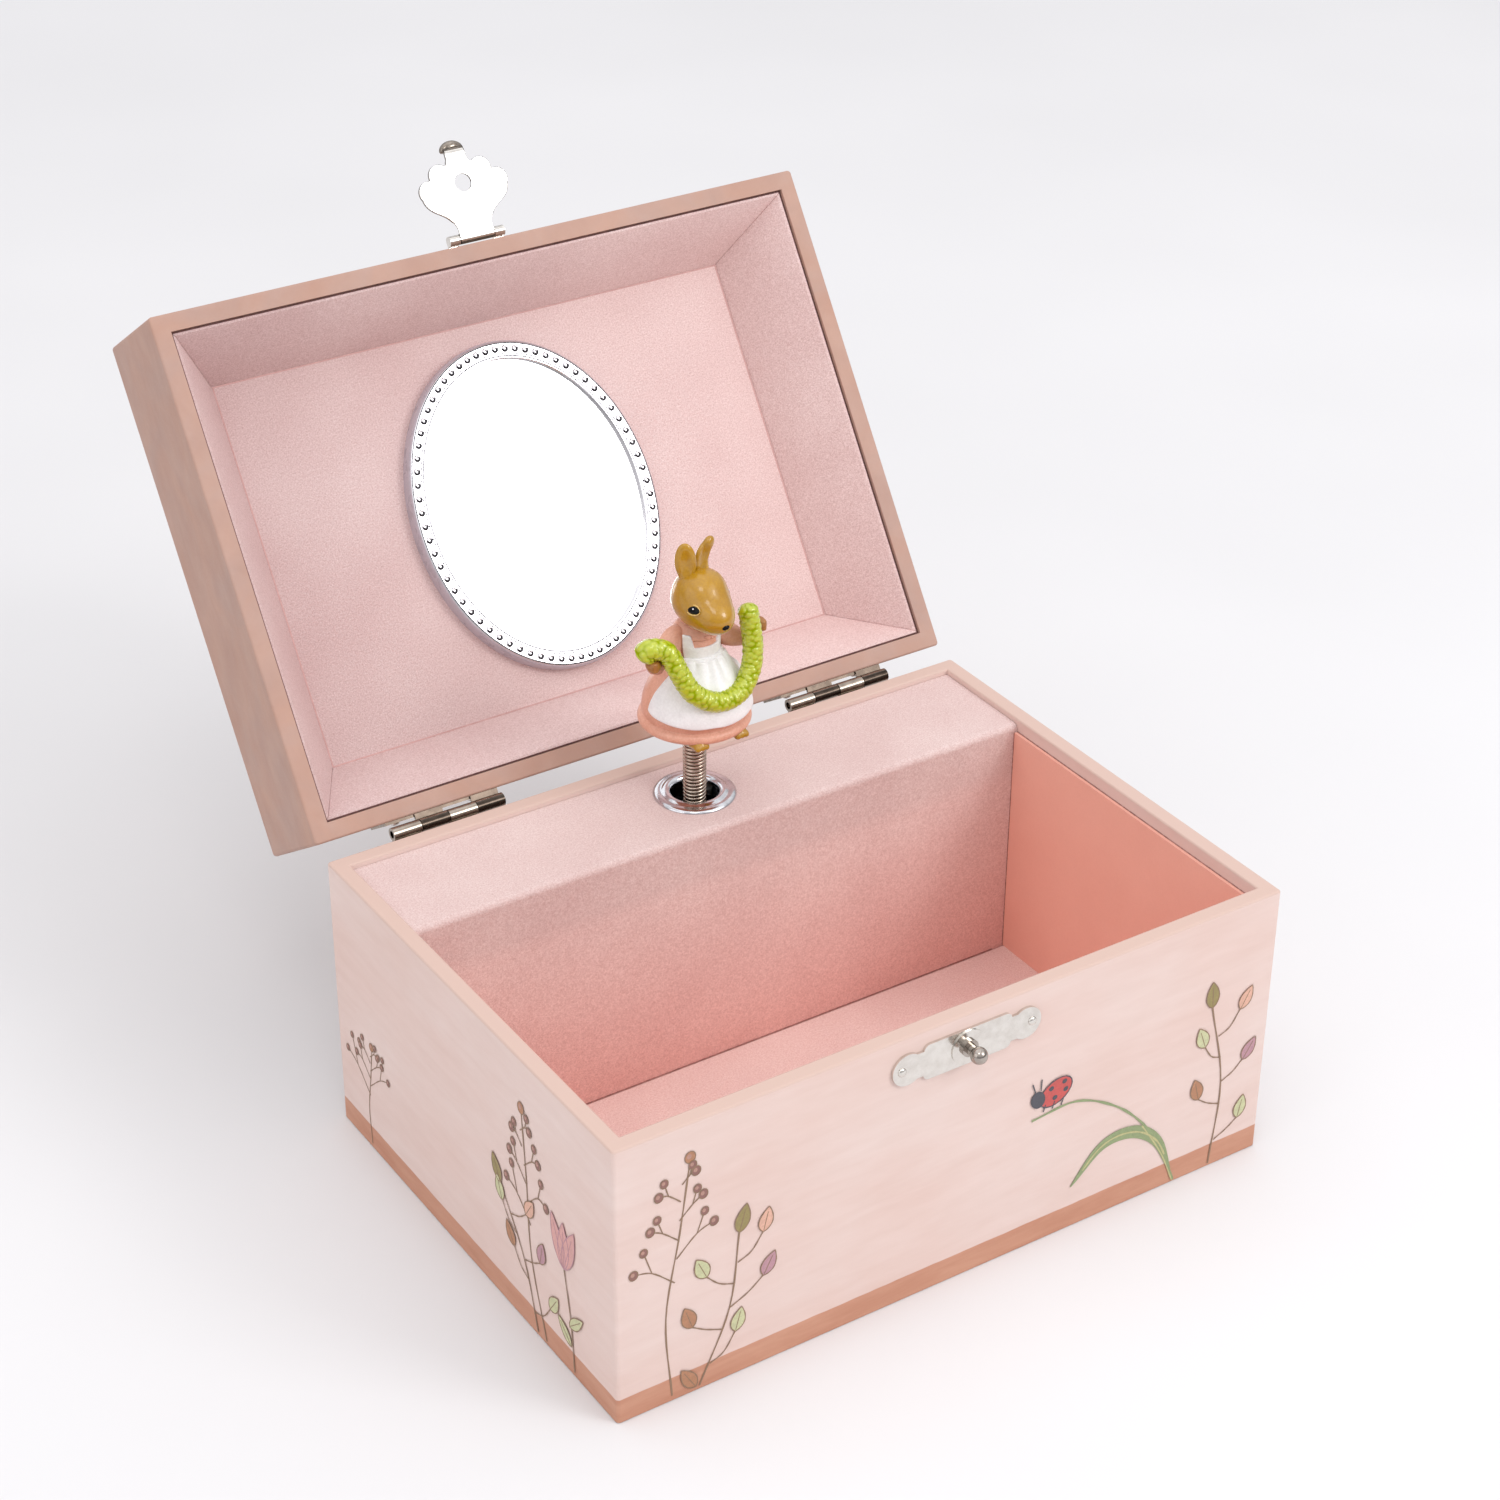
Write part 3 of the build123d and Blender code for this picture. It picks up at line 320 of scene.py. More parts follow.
MATERIALS = {
    "body_paper": body_paper(),
    "lid_paper": lid_paper(),
    "base_board": surface(
        "kraft_board", (150, 116, 90), (178, 142, 112), 9, 0.6, (0.3, 0.15), roughness=0.85
    ),
    "flock": flock_material("pink_flocking", (216, 186, 180), (246, 226, 221), False, COVER_LIGHT_TINTS),
    "coral_paper": surface(
        "coral_paper", (237, 176, 158), (241, 182, 164), 14, 0.4, (0.15, 0.08), roughness=0.6
    ),
    "nickel": metal("nickel_plate", (214, 209, 202), (228, 224, 218), 0.16, SMOOTH_METAL),
    "eyelet_chrome": metal("eyelet_chrome", (196, 196, 200), (222, 222, 226), 0.12, SMOOTH_METAL),
    "mirror_frame_silver": metal("silver_moulding", (206, 204, 208), (218, 216, 220), 0.24),
    "mirror_glass": metal("mirror_glass", (246, 246, 246), (252, 252, 252), 0.02, NO_RELIEF),
    "card": surface("grey_card", (120, 112, 100), (150, 140, 126), 5, 0.5, (0.3, 0.1), roughness=0.9),
    "spring_steel": metal("spring_wire", (176, 160, 146), (206, 192, 178), 0.22, NO_RELIEF),
    "resin_brown": surface(
        "ochre_paint", (168, 120, 2), (184, 136, 12), 5.0, 0.5, NO_RELIEF, roughness=0.32, **GLOSSY_PAINT
    ),
    "resin_peach": surface(
        "peach_paint", (213, 152, 127), (232, 174, 150), 3.5, 0.5, (0.06, 0.05), roughness=0.42, **SATIN_PAINT
    ),
    "resin_white": surface(
        "white_paint", (232, 230, 230), (246, 245, 245), 4.0, 0.5, (0.06, 0.05), roughness=0.4, **SATIN_PAINT
    ),
    "resin_green": lumpy_material(
        "lime_paint", (140, 158, 8), (184, 194, 28), roughness=0.3, coat_roughness=0.12
    ),
    "zinc": metal("zinc_casting", (120, 122, 126), (160, 162, 166), 0.4, (0.3, 0.05)),
    "brass": metal("turned_brass", (176, 136, 66), (206, 166, 92), 0.25),
    "steel": metal("plated_steel", (168, 168, 168), (206, 206, 206), 0.22),
    "moulded_white": surface(
        "natural_moulding", (214, 210, 200), (232, 228, 220), 3, 0.4, (0.1, 0.05), roughness=0.5
    ),
}
HINGE_BARREL = metal("dark_nickel", (150, 138, 126), (176, 164, 152), 0.1, NO_RELIEF)
POLISHED = metal("polished_nickel", (158, 148, 140), (186, 178, 170), 0.06, NO_RELIEF)
# the hasp's edges take this colour as painted shade
SHADED_EDGE_NICKEL = surface("edge_shade_nickel", (58, 50, 44), (96, 86, 76), 1.5, 0.3, (0.05, 0.02), roughness=0.4)
LIP_NICKEL = metal("lip_nickel", (110, 100, 90), (170, 160, 150), 0.08, NO_RELIEF)
FRAME_EDGE = surface(
    "frame_edge_silver", (178, 170, 178), (194, 186, 194), 3, 0.4, (0.05, 0.03), roughness=0.3
)
BEAD_DARK = surface("shaded_silver", (26, 24, 30), (54, 52, 58), 1.2, 0.3, (0.03, 0.02), roughness=0.5)
LID_FLOCK = flock_material("pink_lid_flocking", (215, 185, 180), (249, 229, 226), True, LID_SHADE_TINTS)
PAD_FLOCK = flock_material("pink_pad_flocking", (230, 196, 188), (255, 234, 228))
SEAM = surface("seam_shadow", (78, 48, 46), (118, 80, 76), 3, 0.5, (0.3, 0.1), roughness=0.9)
JOINT_LINE = surface(
    "joint_shadow", (128, 84, 78), (188, 138, 130), 1.6, 0.5, (0.3, 0.1), roughness=0.9
)
CREASE_SHADE = surface(
    "fold_crease_shade", (196, 152, 147), (212, 170, 165), 2, 0.4, (0.2, 0.1), lid=True, roughness=0.9
)
RIM_WAY = OPEN_LID.to_3x3() @ Vector((0, 0, 1))
# the hinge leaves' flat faces take painted shade, in place of a dark reflection; their barrels keep nickel
# colours
LEAF_FACE_SHADE = ((60, 52, 46), (80, 70, 62))
LEAF_BARREL = ((140, 128, 116), (176, 164, 152))
SHADED_HINGE_LEAF = plate_metal("hinge_leaf_shaded_nickel", RIM_WAY, LEAF_FACE_SHADE, LEAF_BARREL, 0.14)

for entry in RECORD["subparts"]:
    slots = node_mesh(entry["node"]).materials
    slots.clear()
    slots.append(MATERIALS[entry["material_slot"]])
for side in ("left", "right"):
    node_mesh("hinge_body_leaf_" + side).materials[0] = HINGE_BARREL
    node_mesh("hinge_lid_leaf_" + side).materials[0] = SHADED_HINGE_LEAF
node_mesh("latch_stud").materials[0] = POLISHED


# ---- mesh helpers ----
CORNERS = ((-1, -1), (1, -1), (1, 1), (-1, 1))
BOX_FACES = [(3, 2, 1, 0), (4, 5, 6, 7), (0, 1, 5, 4), (1, 2, 6, 5), (2, 3, 7, 6), (3, 0, 4, 7)]


def make_mesh(name, points, faces, place=None):
    """Mesh from points in millimetres."""
    mesh = bpy.data.meshes.new(name)
    mesh.from_pydata([tuple(point) for point in points], [], faces)
    if place is not None:
        mesh.transform(place)
    mesh.transform(Matrix.Scale(MM, 4))
    return mesh


def add_piece(name, shape, body, slot, stands_for=(), paint=None, smooth=True, place=None):
    """Adds a piece from a mesh, or from points and faces in millimetres, and rides it on its body."""
    mesh = shape if isinstance(shape, bpy.types.Mesh) else make_mesh(name, *shape, place)
    work = bmesh.new()
    work.from_mesh(mesh)
    bmesh.ops.recalc_face_normals(work, faces=work.faces)
    work.to_mesh(mesh)
    work.free()
    mesh.polygons.foreach_set("use_smooth", [smooth] * len(mesh.polygons))
    if not mesh.materials:
        mesh.materials.append(paint or MATERIALS[slot])
    made = bpy.data.objects.new(name, mesh)
    scene.collection.objects.link(made)
    if body:
        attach(made, body)
    if stands_for:
        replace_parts(made, *stands_for)
    return made


def join(*parts):
    """One list of points and faces from several."""
    points, faces = [], []
    for part_points, part_faces in parts:
        start = len(points)
        points += [tuple(point) for point in part_points]
        faces += [tuple(index + start for index in face) for face in part_faces]
    return points, faces


def grid_faces(rows, columns, round_rows=False, round_columns=True):
    """Faces between the points of a grid, which may close on itself either way."""
    faces = []
    for row in range(rows if round_rows else rows - 1):
        low, high = row * columns, (row + 1) % rows * columns
        for step in range(columns if round_columns else columns - 1):
            after = (step + 1) % columns
            faces.append((low + step, low + after, high + after, high + step))
    return faces


def end_faces(rows, columns):
    """Flat ends of a grid that is round in its columns."""
    return [tuple(range(columns))[::-1], tuple(range((rows - 1) * columns, rows * columns))]


def smooth_path(points, per_span):
    """Points on a Catmull-Rom curve through the given points."""
    points = [np.array(point, float) for point in points]
    ends = [2 * points[0] - points[1], *points, 2 * points[-1] - points[-2]]
    path = []
    for a, b, c, d in zip(ends, ends[1:], ends[2:], ends[3:]):
        for step in range(per_span):
            t = step / per_span
            square, cube = 2 * a - 5 * b + 4 * c - d, 3 * b - a - 3 * c + d
            path.append(0.5 * (2 * b + (c - a) * t + square * t**2 + cube * t**3))
    path.append(points[-1])
    return path


def lengths_along(path):
    """Distance from the start to each point of a path."""
    lengths = [0.0]
    for a, b in zip(path, path[1:]):
        lengths.append(lengths[-1] + (Vector(b) - Vector(a)).length)
    return lengths


def tube(path, radius, sides=12, twist=0.0):
    """Closed tube along a path; radius is a function of (share of length, angle, distance)."""
    path = [Vector(point) for point in path]
    count = len(path)
    lengths = lengths_along(path)
    normal = (path[1] - path[0]).orthogonal().normalized()
    points = []
    for index, centre in enumerate(path):
        tangent = (path[min(index + 1, count - 1)] - path[max(index - 1, 0)]).normalized()
        normal = (normal - tangent * normal.dot(tangent)).normalized()
        side = tangent.cross(normal)
        for step in range(sides):
            angle = tau * step / sides
            reach = radius(lengths[index] / lengths[-1], angle, lengths[index])
            turn = angle + twist * lengths[index]
            points.append(centre + (normal * cos(turn) + side * sin(turn)) * reach)
    return points, grid_faces(count, sides) + end_faces(count, sides)


def lathe(profile, steps, centre, wave=None, closed=False):
    """Surface turned about an upright axis; profile is (radius, height) points."""
    points = []
    for radius, height in profile:
        for step in range(steps):
            angle = tau * step / steps
            reach = radius + (wave(angle, height) if wave else 0.0)
            points.append((centre[0] + reach * sin(angle), centre[1] - reach * cos(angle), height))
    rows = len(profile)
    return points, grid_faces(rows, steps, closed) + ([] if closed else end_faces(rows, steps))


def ball_distance(points, ball):
    """Distance to an ellipsoid given as (centre, radii, turn about X, Y, Z in degrees)."""
    centre, radii = np.array(ball[0], float), np.array(ball[1], float)
    local = points - centre
    if len(ball) > 2:
        x_turn, y_turn, z_turn = (Matrix.Rotation(radians(ball[2][k]), 3, "XYZ"[k]) for k in range(3))
        local = local @ np.array(z_turn @ y_turn @ x_turn)
    near = np.linalg.norm(local / radii, axis=1)
    slope = np.linalg.norm(local / radii**2, axis=1) + 1e-9
    return near * (near - 1) / slope


def walk_in(centre, rays, balls, blend, cuts=(), cut_blend=0.3, reach=16.0):
    """Points where rays from the centre leave a body of softly merged ellipsoids, less the cuts."""
    far = np.full(len(rays), reach)
    for _ in range(90):
        points = centre + rays * far[:, None]
        field = ball_distance(points, balls[0])
        for ball in balls[1:]:
            other = ball_distance(points, ball)
            share = np.clip(0.5 + 0.5 * (other - field) / blend, 0, 1)
            field = other * (1 - share) + field * share - blend * share * (1 - share)
        for ball in cuts:
            other = -ball_distance(points, ball)
            share = np.clip(0.5 - 0.5 * (other - field) / cut_blend, 0, 1)
            field = other * (1 - share) + field * share + cut_blend * share * (1 - share)
        far = np.maximum(far - np.clip(field, -0.5, 1.0) * 0.8, 0.05)
    return centre + rays * far[:, None]


def sphere_rays(detail, spread=(1, 1, 1)):
    """Evenly spread directions, and the faces between them."""
    work = bmesh.new()
    bmesh.ops.create_icosphere(work, subdivisions=detail, radius=1.0)
    rays = np.array([vertex.co[:] for vertex in work.verts]) * np.array(spread, float)
    faces = [tuple(vertex.index for vertex in face.verts) for face in work.faces]
    work.free()
    return rays / np.linalg.norm(rays, axis=1)[:, None], faces


def sculpt(centre, balls, blend, cuts=(), cut_blend=0.3, detail=5, spread=(1, 1, 1), reach=16.0):
    """Skin round softly merged ellipsoids."""
    rays, faces = sphere_rays(detail, spread)
    return walk_in(np.array(centre, float), rays, balls, blend, cuts, cut_blend, reach), faces


def bead(centre, axes, radii, detail=4):
    """Ellipsoid with its own axes."""
    rays, faces = sphere_rays(detail)
    points = [centre + sum((axes[k] * float(ray[k] * radii[k]) for k in range(3)), Vector()) for ray in rays]
    return points, faces


# ---- boards and linings ----
SEAM_WIDTH, SEAM_DEPTH = 0.32, 0.06
CREASE_INSET, CREASE_WIDTH, CREASE_DEPTH = 1.2, 0.3, 0.04
LINE_HEIGHT = 0.05
LINING_ROUND, PAD_ROUND = 0.35, 0.6
PAD_HALF_WIDTH = 70
# joints in the compartment: how far they sink into a board, and how wide they show on each
JOINT_SINK, JOINT_ON_SIDE, JOINT_ON_DIVIDER, JOINT_ON_WALL = 0.02, 0.12, 0.14, 0.25
JOINT_ON_TOP, JOINT_AT_PAD, JOINT_ON_PAD = 0.1, 0.22, 0.04


def soften(name, node, body, paint, width):
    """A copy of a flocked CAD board whose edges are rounded, standing for that node."""
    mesh = node_mesh(node).copy()
    work = bmesh.new()
    work.from_mesh(mesh)
    bmesh.ops.remove_doubles(work, verts=work.verts, dist=1e-6)
    bmesh.ops.dissolve_limit(work, angle_limit=radians(2), verts=work.verts, edges=work.edges)
    shared = [edge for edge in work.edges if len(edge.link_faces) == 2]
    edges = [edge for edge in shared if edge.calc_face_angle() > radians(20)]
    rounding = {"offset": width * MM, "segments": 3, "profile": 0.5}
    bmesh.ops.bevel(work, geom=edges, affect="EDGES", clamp_overlap=True, **rounding)
    work.to_mesh(mesh)
    work.free()
    mesh.materials.clear()
    add_piece(name, mesh, body, "flock", (node,), paint)


def make_linings():
    for side in ("front", "back", "left", "right", "flat"):
        soften("lid_flock_" + side, "lid_lining_" + side, "lid", LID_FLOCK, LINING_ROUND)
    soften("pad_flock", "floor_pad", "root", PAD_FLOCK, PAD_ROUND)


def lid_line(name, outer, width, level, paint):
    """Thin line of painted shade round the lid's rectangular opening or flat panel."""
    inner = (outer[0] - width, outer[1] - width)
    top = level + LINE_HEIGHT
    rows = ((outer, level), (inner, level), (inner, top), (outer, top))
    points = [(x * half[0], y * half[1], z) for half, z in rows for x, y in CORNERS]
    add_piece(name, (points, grid_faces(4, 4, True)), "lid", "flock", (), paint, False, OPEN_LID)


def make_lid_lines():
    low, high = shut_box("lid_lining_front")
    lid_line("lid_seam", (high.x, -low.y), SEAM_WIDTH, low.z - SEAM_DEPTH, SEAM)
    # the fold round the lining's flat panel is a line of painted shade
    low, high = shut_box("lid_lining_flat")
    inside = (high.x - CREASE_INSET, high.y - CREASE_INSET)
    lid_line("lid_crease", inside, CREASE_WIDTH, low.z - CREASE_DEPTH, CREASE_SHADE)


def make_compartment_joints():
    """Thin strips of painted shadow in the joints inside the compartment, between the divider, the pad and
    the side linings.
    """
    pad_top = node_box("floor_pad")[1].z
    cover_y = node_box("music_cover")[0].y
    spans = []
    for side in ("left", "right"):
        low, high = node_box("side_lining_" + side)
        if side == "left":
            near, wall = (high.x - JOINT_SINK, high.x + JOINT_ON_SIDE), (low.x, low.x + JOINT_ON_WALL)
        else:
            near, wall = (low.x - JOINT_ON_SIDE, low.x + JOINT_SINK), (high.x - JOINT_ON_WALL, high.x)
        spans.append((near, (cover_y - JOINT_ON_DIVIDER, cover_y + JOINT_SINK), (pad_top, high.z)))
        spans.append((wall, (low.y, high.y), (high.z - JOINT_SINK, high.z + JOINT_ON_TOP)))
    across = (-PAD_HALF_WIDTH, PAD_HALF_WIDTH)
    spans.append((across, (cover_y - JOINT_AT_PAD, cover_y), (pad_top - JOINT_SINK, pad_top + JOINT_ON_PAD)))
    boxes = []
    for x_span, y_span, z_span in spans:
        points = [(x_span[x > 0], y_span[y > 0], z) for z in z_span for x, y in CORNERS]
        boxes.append((points, BOX_FACES))
    add_piece("compartment_joints", join(*boxes), "root", "flock", (), JOINT_LINE, False)


# ---- eyelet and hasp ----
EDGE_WIDTH = 0.2
HOLE_EDGE_WIDTH = 0.08        # the catch's collar passes here
EDGE_SQUEEZE = 0.4            # share by which the edge is thinner than the plate
BARREL_REACH = 3.6
TIP_REACH = 3.0
HOLE_REACH = 2.3
LIP_HALF_WIDTH, LIP_BULGE, LIP_DROP = 2.2, 1.1, 0.7


def make_eyelet():
    low, high = node_box("eyelet")
    top, bottom = high.z, low.z
    cover = node_box("music_cover")[1].z
    profile = [
        (5.0, bottom), (5.0, cover - 0.4), (5.08, cover + 0.3), (5.3, top - 0.28), (5.7, top - 0.06),
        (6.15, top), (6.6, top - 0.1), (6.9, top - 0.32), (7.1, top - 0.4), (7.5, top - 0.36),
        (8.0, top - 0.4), (8.35, top - 0.5), (8.62, top - 0.72), (high.x, cover + 0.12),
        (high.x, cover + 0.01), (5.75, cover + 0.01), (5.75, cover - 1.55), (7.05, cover - 1.55),
        (7.05, cover - 2.1), (5.5, bottom),
    ]
    ring = lathe(profile, 128, SPINDLE.xy, None, True)
    made = add_piece("eyelet_ring", ring, "root", "eyelet_chrome", ("eyelet",))
    made.data.set_sharp_from_angle(angle=radians(50))


def hasp_ways():
    """The hasp's pin, and the directions along its plate and square to it."""
    pin = joint_place("hasp_hinge")
    spots = [vertex.co / MM - pin for vertex in node_mesh("hasp").vertices]
    reach = max(spot.yz.length for spot in spots)
    far = [Vector((0, spot.y, spot.z)) for spot in spots if spot.yz.length > reach - 1.0]
    tip = sum(far, Vector()) / len(far)
    along = tip.normalized()
    return pin, tip, along, along.cross(Vector((1, 0, 0)))


def make_hasp_edge_shade():
    """Painted shade along the cut edge of the hasp's plate: a dark shell standing a hair proud round its
    outline.
    """
    pin, tip, along, way = hasp_ways()
    mesh = node_mesh("hasp").copy()
    mesh.materials.clear()
    spots = [vertex.co / MM - pin for vertex in mesh.vertices]
    plate_end = tip.length - TIP_REACH
    plate = [spot.dot(way) for spot in spots if BARREL_REACH < spot.dot(along) < plate_end]
    middle = (min(plate) + max(plate)) / 2
    moved = []
    for spot, normal in zip(spots, mesh.vertex_normals):
        flat = normal.vector - way * normal.vector.dot(way)
        inward = (middle - spot.dot(way)) * EDGE_SQUEEZE
        if flat.length > 0.2 and spot.dot(along) > BARREL_REACH:
            at_hole = abs(spot.x) < HOLE_REACH and spot.dot(along) < plate_end
            spot = spot + flat.normalized() * (HOLE_EDGE_WIDTH if at_hole else EDGE_WIDTH)
        moved += ((spot + way * inward + pin) * MM)[:]
    mesh.vertices.foreach_set("co", moved)
    add_piece("hasp_edge_shade", mesh, "hasp", "nickel", (), SHADED_EDGE_NICKEL, False)


def make_hasp_lip():
    """Curled thumb lip at the hasp's free end."""
    pin, tip, along, _ = hasp_ways()
    centre = pin + tip - along * LIP_DROP
    path = []
    for step in range(17):
        turn = pi * step / 16 - pi / 2
        path.append(centre + Vector((LIP_HALF_WIDTH * sin(turn), 0, 0)) + along * (LIP_BULGE * cos(turn)))
    lip = tube(path, lambda share, angle, length: 0.45 + 0.85 * max(0.0, sin(pi * share)) ** 0.6, 24)
    add_piece("hasp_lip", lip, "hasp", "nickel", (), LIP_NICKEL)


# ---- mirror ----
STUD_COUNT, STUD_SHARE, STUD_STEPS = 72, 0.48, 12
DASH_COUNT, DASH_SHARE = 150, 0.74
DASH_HALF_LENGTH, DASH_HALF_WIDTH, DASH_HEIGHT = 0.34, 0.13, 0.1
SINK = 0.02                   # how far beads and dashes start inside the frame
GLASS_OVERLAP = 0.6
FRAME_SIDE_ROWS = (0, 1, 2)
# the groove bottoms take the dark silver as painted shade
FRAME_GROOVE_ROWS = (6, 10)


class MirrorFrame:
    """Places on the oval frame, whose face looks towards -Z when the lid is shut."""

    def __init__(self):
        low, high = shut_box("mirror_frame")
        glass = shut_box("mirror_glass")[1]
        self.outer = (high.x, high.y)
        self.inner = (glass.x - GLASS_OVERLAP, glass.y - GLASS_OVERLAP)
        self.face, self.back = low.z, high.z - low.z

    def point(self, share, angle, depth=0.0):
        """Point on the frame: share 0 is its outer edge and 1 its inner edge."""
        across, over = [a + (b - a) * share for a, b in zip(self.outer, self.inner)]
        return (across * cos(angle), over * sin(angle), self.face + depth)


def make_mirror_ring(oval):
    profile = [
        (0, oval.back), (0, 1.0), (0.03, 0.5), (0.09, 0.15), (0.13, 0.02), (0.15, 0.0), (0.16, 0.1),
        (0.205, 0.1), (0.215, 0.0), (0.83, 0.0), (0.84, 0.1), (0.885, 0.1), (0.895, 0.0), (0.95, 0.02),
        (0.985, 0.14), (1.0, 0.4), (1.0, 1.0), (0.8, 1.0), (0.8, oval.back),
    ]
    steps, rows = 192, len(profile)
    angles = [tau * step / steps for step in range(steps)]
    points = [oval.point(share, angle, depth) for angle in angles for share, depth in profile]
    ring = (points, grid_faces(steps, rows, True))
    slot = "mirror_frame_silver"
    made = add_piece("mirror_frame_ring", ring, "lid", slot, ("mirror_frame",), place=OPEN_LID)
    made.data.set_sharp_from_angle(angle=radians(32))
    made.data.materials.append(FRAME_EDGE)
    made.data.materials.append(BEAD_DARK)
    paints = {**dict.fromkeys(FRAME_SIDE_ROWS, 1), **dict.fromkeys(FRAME_GROOVE_ROWS, 2)}
    shades = [paints.get(index % rows, 0) for index in range(len(made.data.polygons))]
    made.data.polygons.foreach_set("material_index", shades)


def stud(centre):
    """Small raised ring with a dimple."""
    profile = [(0.82, SINK), (0.7, -0.26), (0.5, -0.38), (0.3, -0.24), (0.18, 0.1), (0.02, 0.16)]
    points = []
    for radius, depth in profile:
        for step in range(STUD_STEPS):
            turn = tau * step / STUD_STEPS
            points.append((centre[0] + radius * cos(turn), centre[1] + radius * sin(turn), centre[2] + depth))
    rows = len(profile)
    return points, grid_faces(rows, STUD_STEPS) + end_faces(rows, STUD_STEPS)


def stud_shade(index):
    """Which paint one face of a stud takes: painted shadow, dark round one side of its ring."""
    row, step = divmod(index, STUD_STEPS)
    return 1 if row < 4 and (step < 6 or step == 11) else 0


def dash(centre, ahead):
    """Small raised bar along the frame."""
    along = (Vector(ahead) - Vector(centre)).normalized()
    across = Vector((0, 0, 1)).cross(along) * DASH_HALF_WIDTH
    along *= DASH_HALF_LENGTH
    points = []
    for lift, shrink in ((SINK, 1.0), (-DASH_HEIGHT, 0.7)):
        for a, b in CORNERS:
            spot = Vector(centre) + (along * a + across * b) * shrink
            points.append((spot.x, spot.y, centre[2] + lift))
    return points, BOX_FACES


def make_mirror_marks(oval):
    studs = [stud(oval.point(STUD_SHARE, tau * (index + 0.5) / STUD_COUNT)) for index in range(STUD_COUNT)]
    mesh = make_mesh("mirror_frame_beads", *join(*studs), OPEN_LID)
    mesh.materials.append(MATERIALS["mirror_frame_silver"])
    mesh.materials.append(BEAD_DARK)
    faces_each = len(studs[0][1])
    shades = [stud_shade(index % faces_each) for index in range(len(mesh.polygons))]
    mesh.polygons.foreach_set("material_index", shades)
    add_piece("mirror_frame_beads", mesh, "lid", "mirror_frame_silver")
    dashes = []
    for index in range(DASH_COUNT):
        angle = tau * index / DASH_COUNT
        dashes.append(dash(oval.point(DASH_SHARE, angle), oval.point(DASH_SHARE, angle + 0.01)))
    marks = join(*dashes)
    # the dashes are dark all over: painted shade
    add_piece("mirror_frame_dashes", marks, "lid", "mirror_frame_silver", (), BEAD_DARK, False, OPEN_LID)


# ---- figure: dress and apron ----
FIGURE_X, FIGURE_Y = SPINDLE.xy
# (radius, height) points of the dress, from under the hem up to the neck
HEM = [
    (0.3, 81.6), (9.9, 81.5), (10.25, 81.2), (10.6, 80.7), (11.15, 80.4), (11.6, 80.7), (11.8, 81.3),
    (11.6, 81.95),
]
SKIRT = [
    (11.15, 82.35), (10.75, 82.6), (10.8, 83.0), (10.95, 83.8), (10.75, 85.6), (10.2, 87.6), (9.25, 89.8),
    (7.9, 92.0), (6.4, 94.0),
]
CHEST = [
    (5.2, 95.8), (4.75, 96.9), (4.8, 98.2), (4.85, 99.6), (4.5, 100.9), (3.7, 102.1), (2.9, 103.2),
    (2.5, 104.6), (0.4, 105.6),
]
COLLAR = [
    (2.4, 103.5), (2.9, 103.55), (3.6, 102.9), (4.3, 101.9), (4.75, 101.1), (4.7, 100.75), (4.3, 100.8),
    (3.4, 101.9), (2.6, 102.8),
]
# one sleeve as (outward, back from the spindle, height) points
SLEEVE = [(2.6, 0.2, 101.6), (4.7, 0.1, 100.6), (7.2, -0.9, 98.6), (9.6, -2.4, 97.7), (11.9, -4.1, 98.2)]
BOW = (1.0, FIGURE_Y - 4.9, 101.2)
FOLDS_FROM, FOLDS_TO = 82.6, 96.5
APRON_HEM, BAND_Z, BIB_Z, BIB_TOP = 84.1, 96.0, 96.9, 99.5
APRON_THICKNESS = 0.62


def fold_wave(angle, height):
    """Soft folds of the skirt, none at the waist and little at the hem."""
    if height < FOLDS_FROM or height > FOLDS_TO:
        return 0.0
    share = (height - FOLDS_FROM) / (FOLDS_TO - FOLDS_FROM)
    return 0.2 * sin(pi * share) * (sin(9 * angle + 0.6) + 0.5 * sin(14 * angle + 2.1))


def skirt_radius(height):
    """Dress radius at a height, between the skirt's and chest's points."""
    line = [*SKIRT, *CHEST]
    for (r1, z1), (r2, z2) in zip(line, line[1:]):
        if z1 <= height <= z2:
            return r1 + (r2 - r1) * (height - z1) / (z2 - z1)
    return line[0][0]


def sleeve_radius(share, angle, length):
    cuff = 0.55 * max(share - 0.72, 0) / 0.28
    return 1.5 + 1.1 * sin(pi * min(share * 1.25, 1.0)) ** 0.8 + cuff + 0.07 * sin(5 * angle + 3 * share)


def make_dress():
    centre = (FIGURE_X, FIGURE_Y)
    profile = [tuple(point) for point in smooth_path([*HEM, *SKIRT, *CHEST], 3)]
    parts = [lathe(profile, 128, centre, fold_wave)]
    for side in (-1, 1):
        line = smooth_path([(side * out, FIGURE_Y + back, height) for out, back, height in SLEEVE], 8)
        parts.append(tube(line, sleeve_radius, 28))
    parts.append(lathe(COLLAR, 72, centre, lambda angle, height: 0.12 * cos(3 * angle), True))
    for side in (-1, 1):
        lobe = ((BOW[0] + side * 0.75, BOW[1] + 0.1, BOW[2] + 0.1), (0.8, 0.35, 0.5), (0, side * -18, 0))
        parts.append(sculpt(lobe[0], [lobe], 0.1, detail=3, spread=lobe[1], reach=3))
    parts.append(sculpt(BOW, [(BOW, (0.35, 0.4, 0.35))], 0.1, detail=3, reach=3))
    add_piece("dress", join(*parts), "figure", "resin_peach", ("figure_dress",))


def pleat(angle, height):
    """Gathers of the apron below its waistband."""
    share = max(0.0, min(1.0, (height - 84.0) / 12.4))
    return 0.26 * share**1.6 * sin(15 * angle) + 0.12 * sin(4 * angle) * (1 - share)


def round_point(angle, radius, height):
    return (FIGURE_X + radius * sin(angle), FIGURE_Y - radius * cos(angle), height)


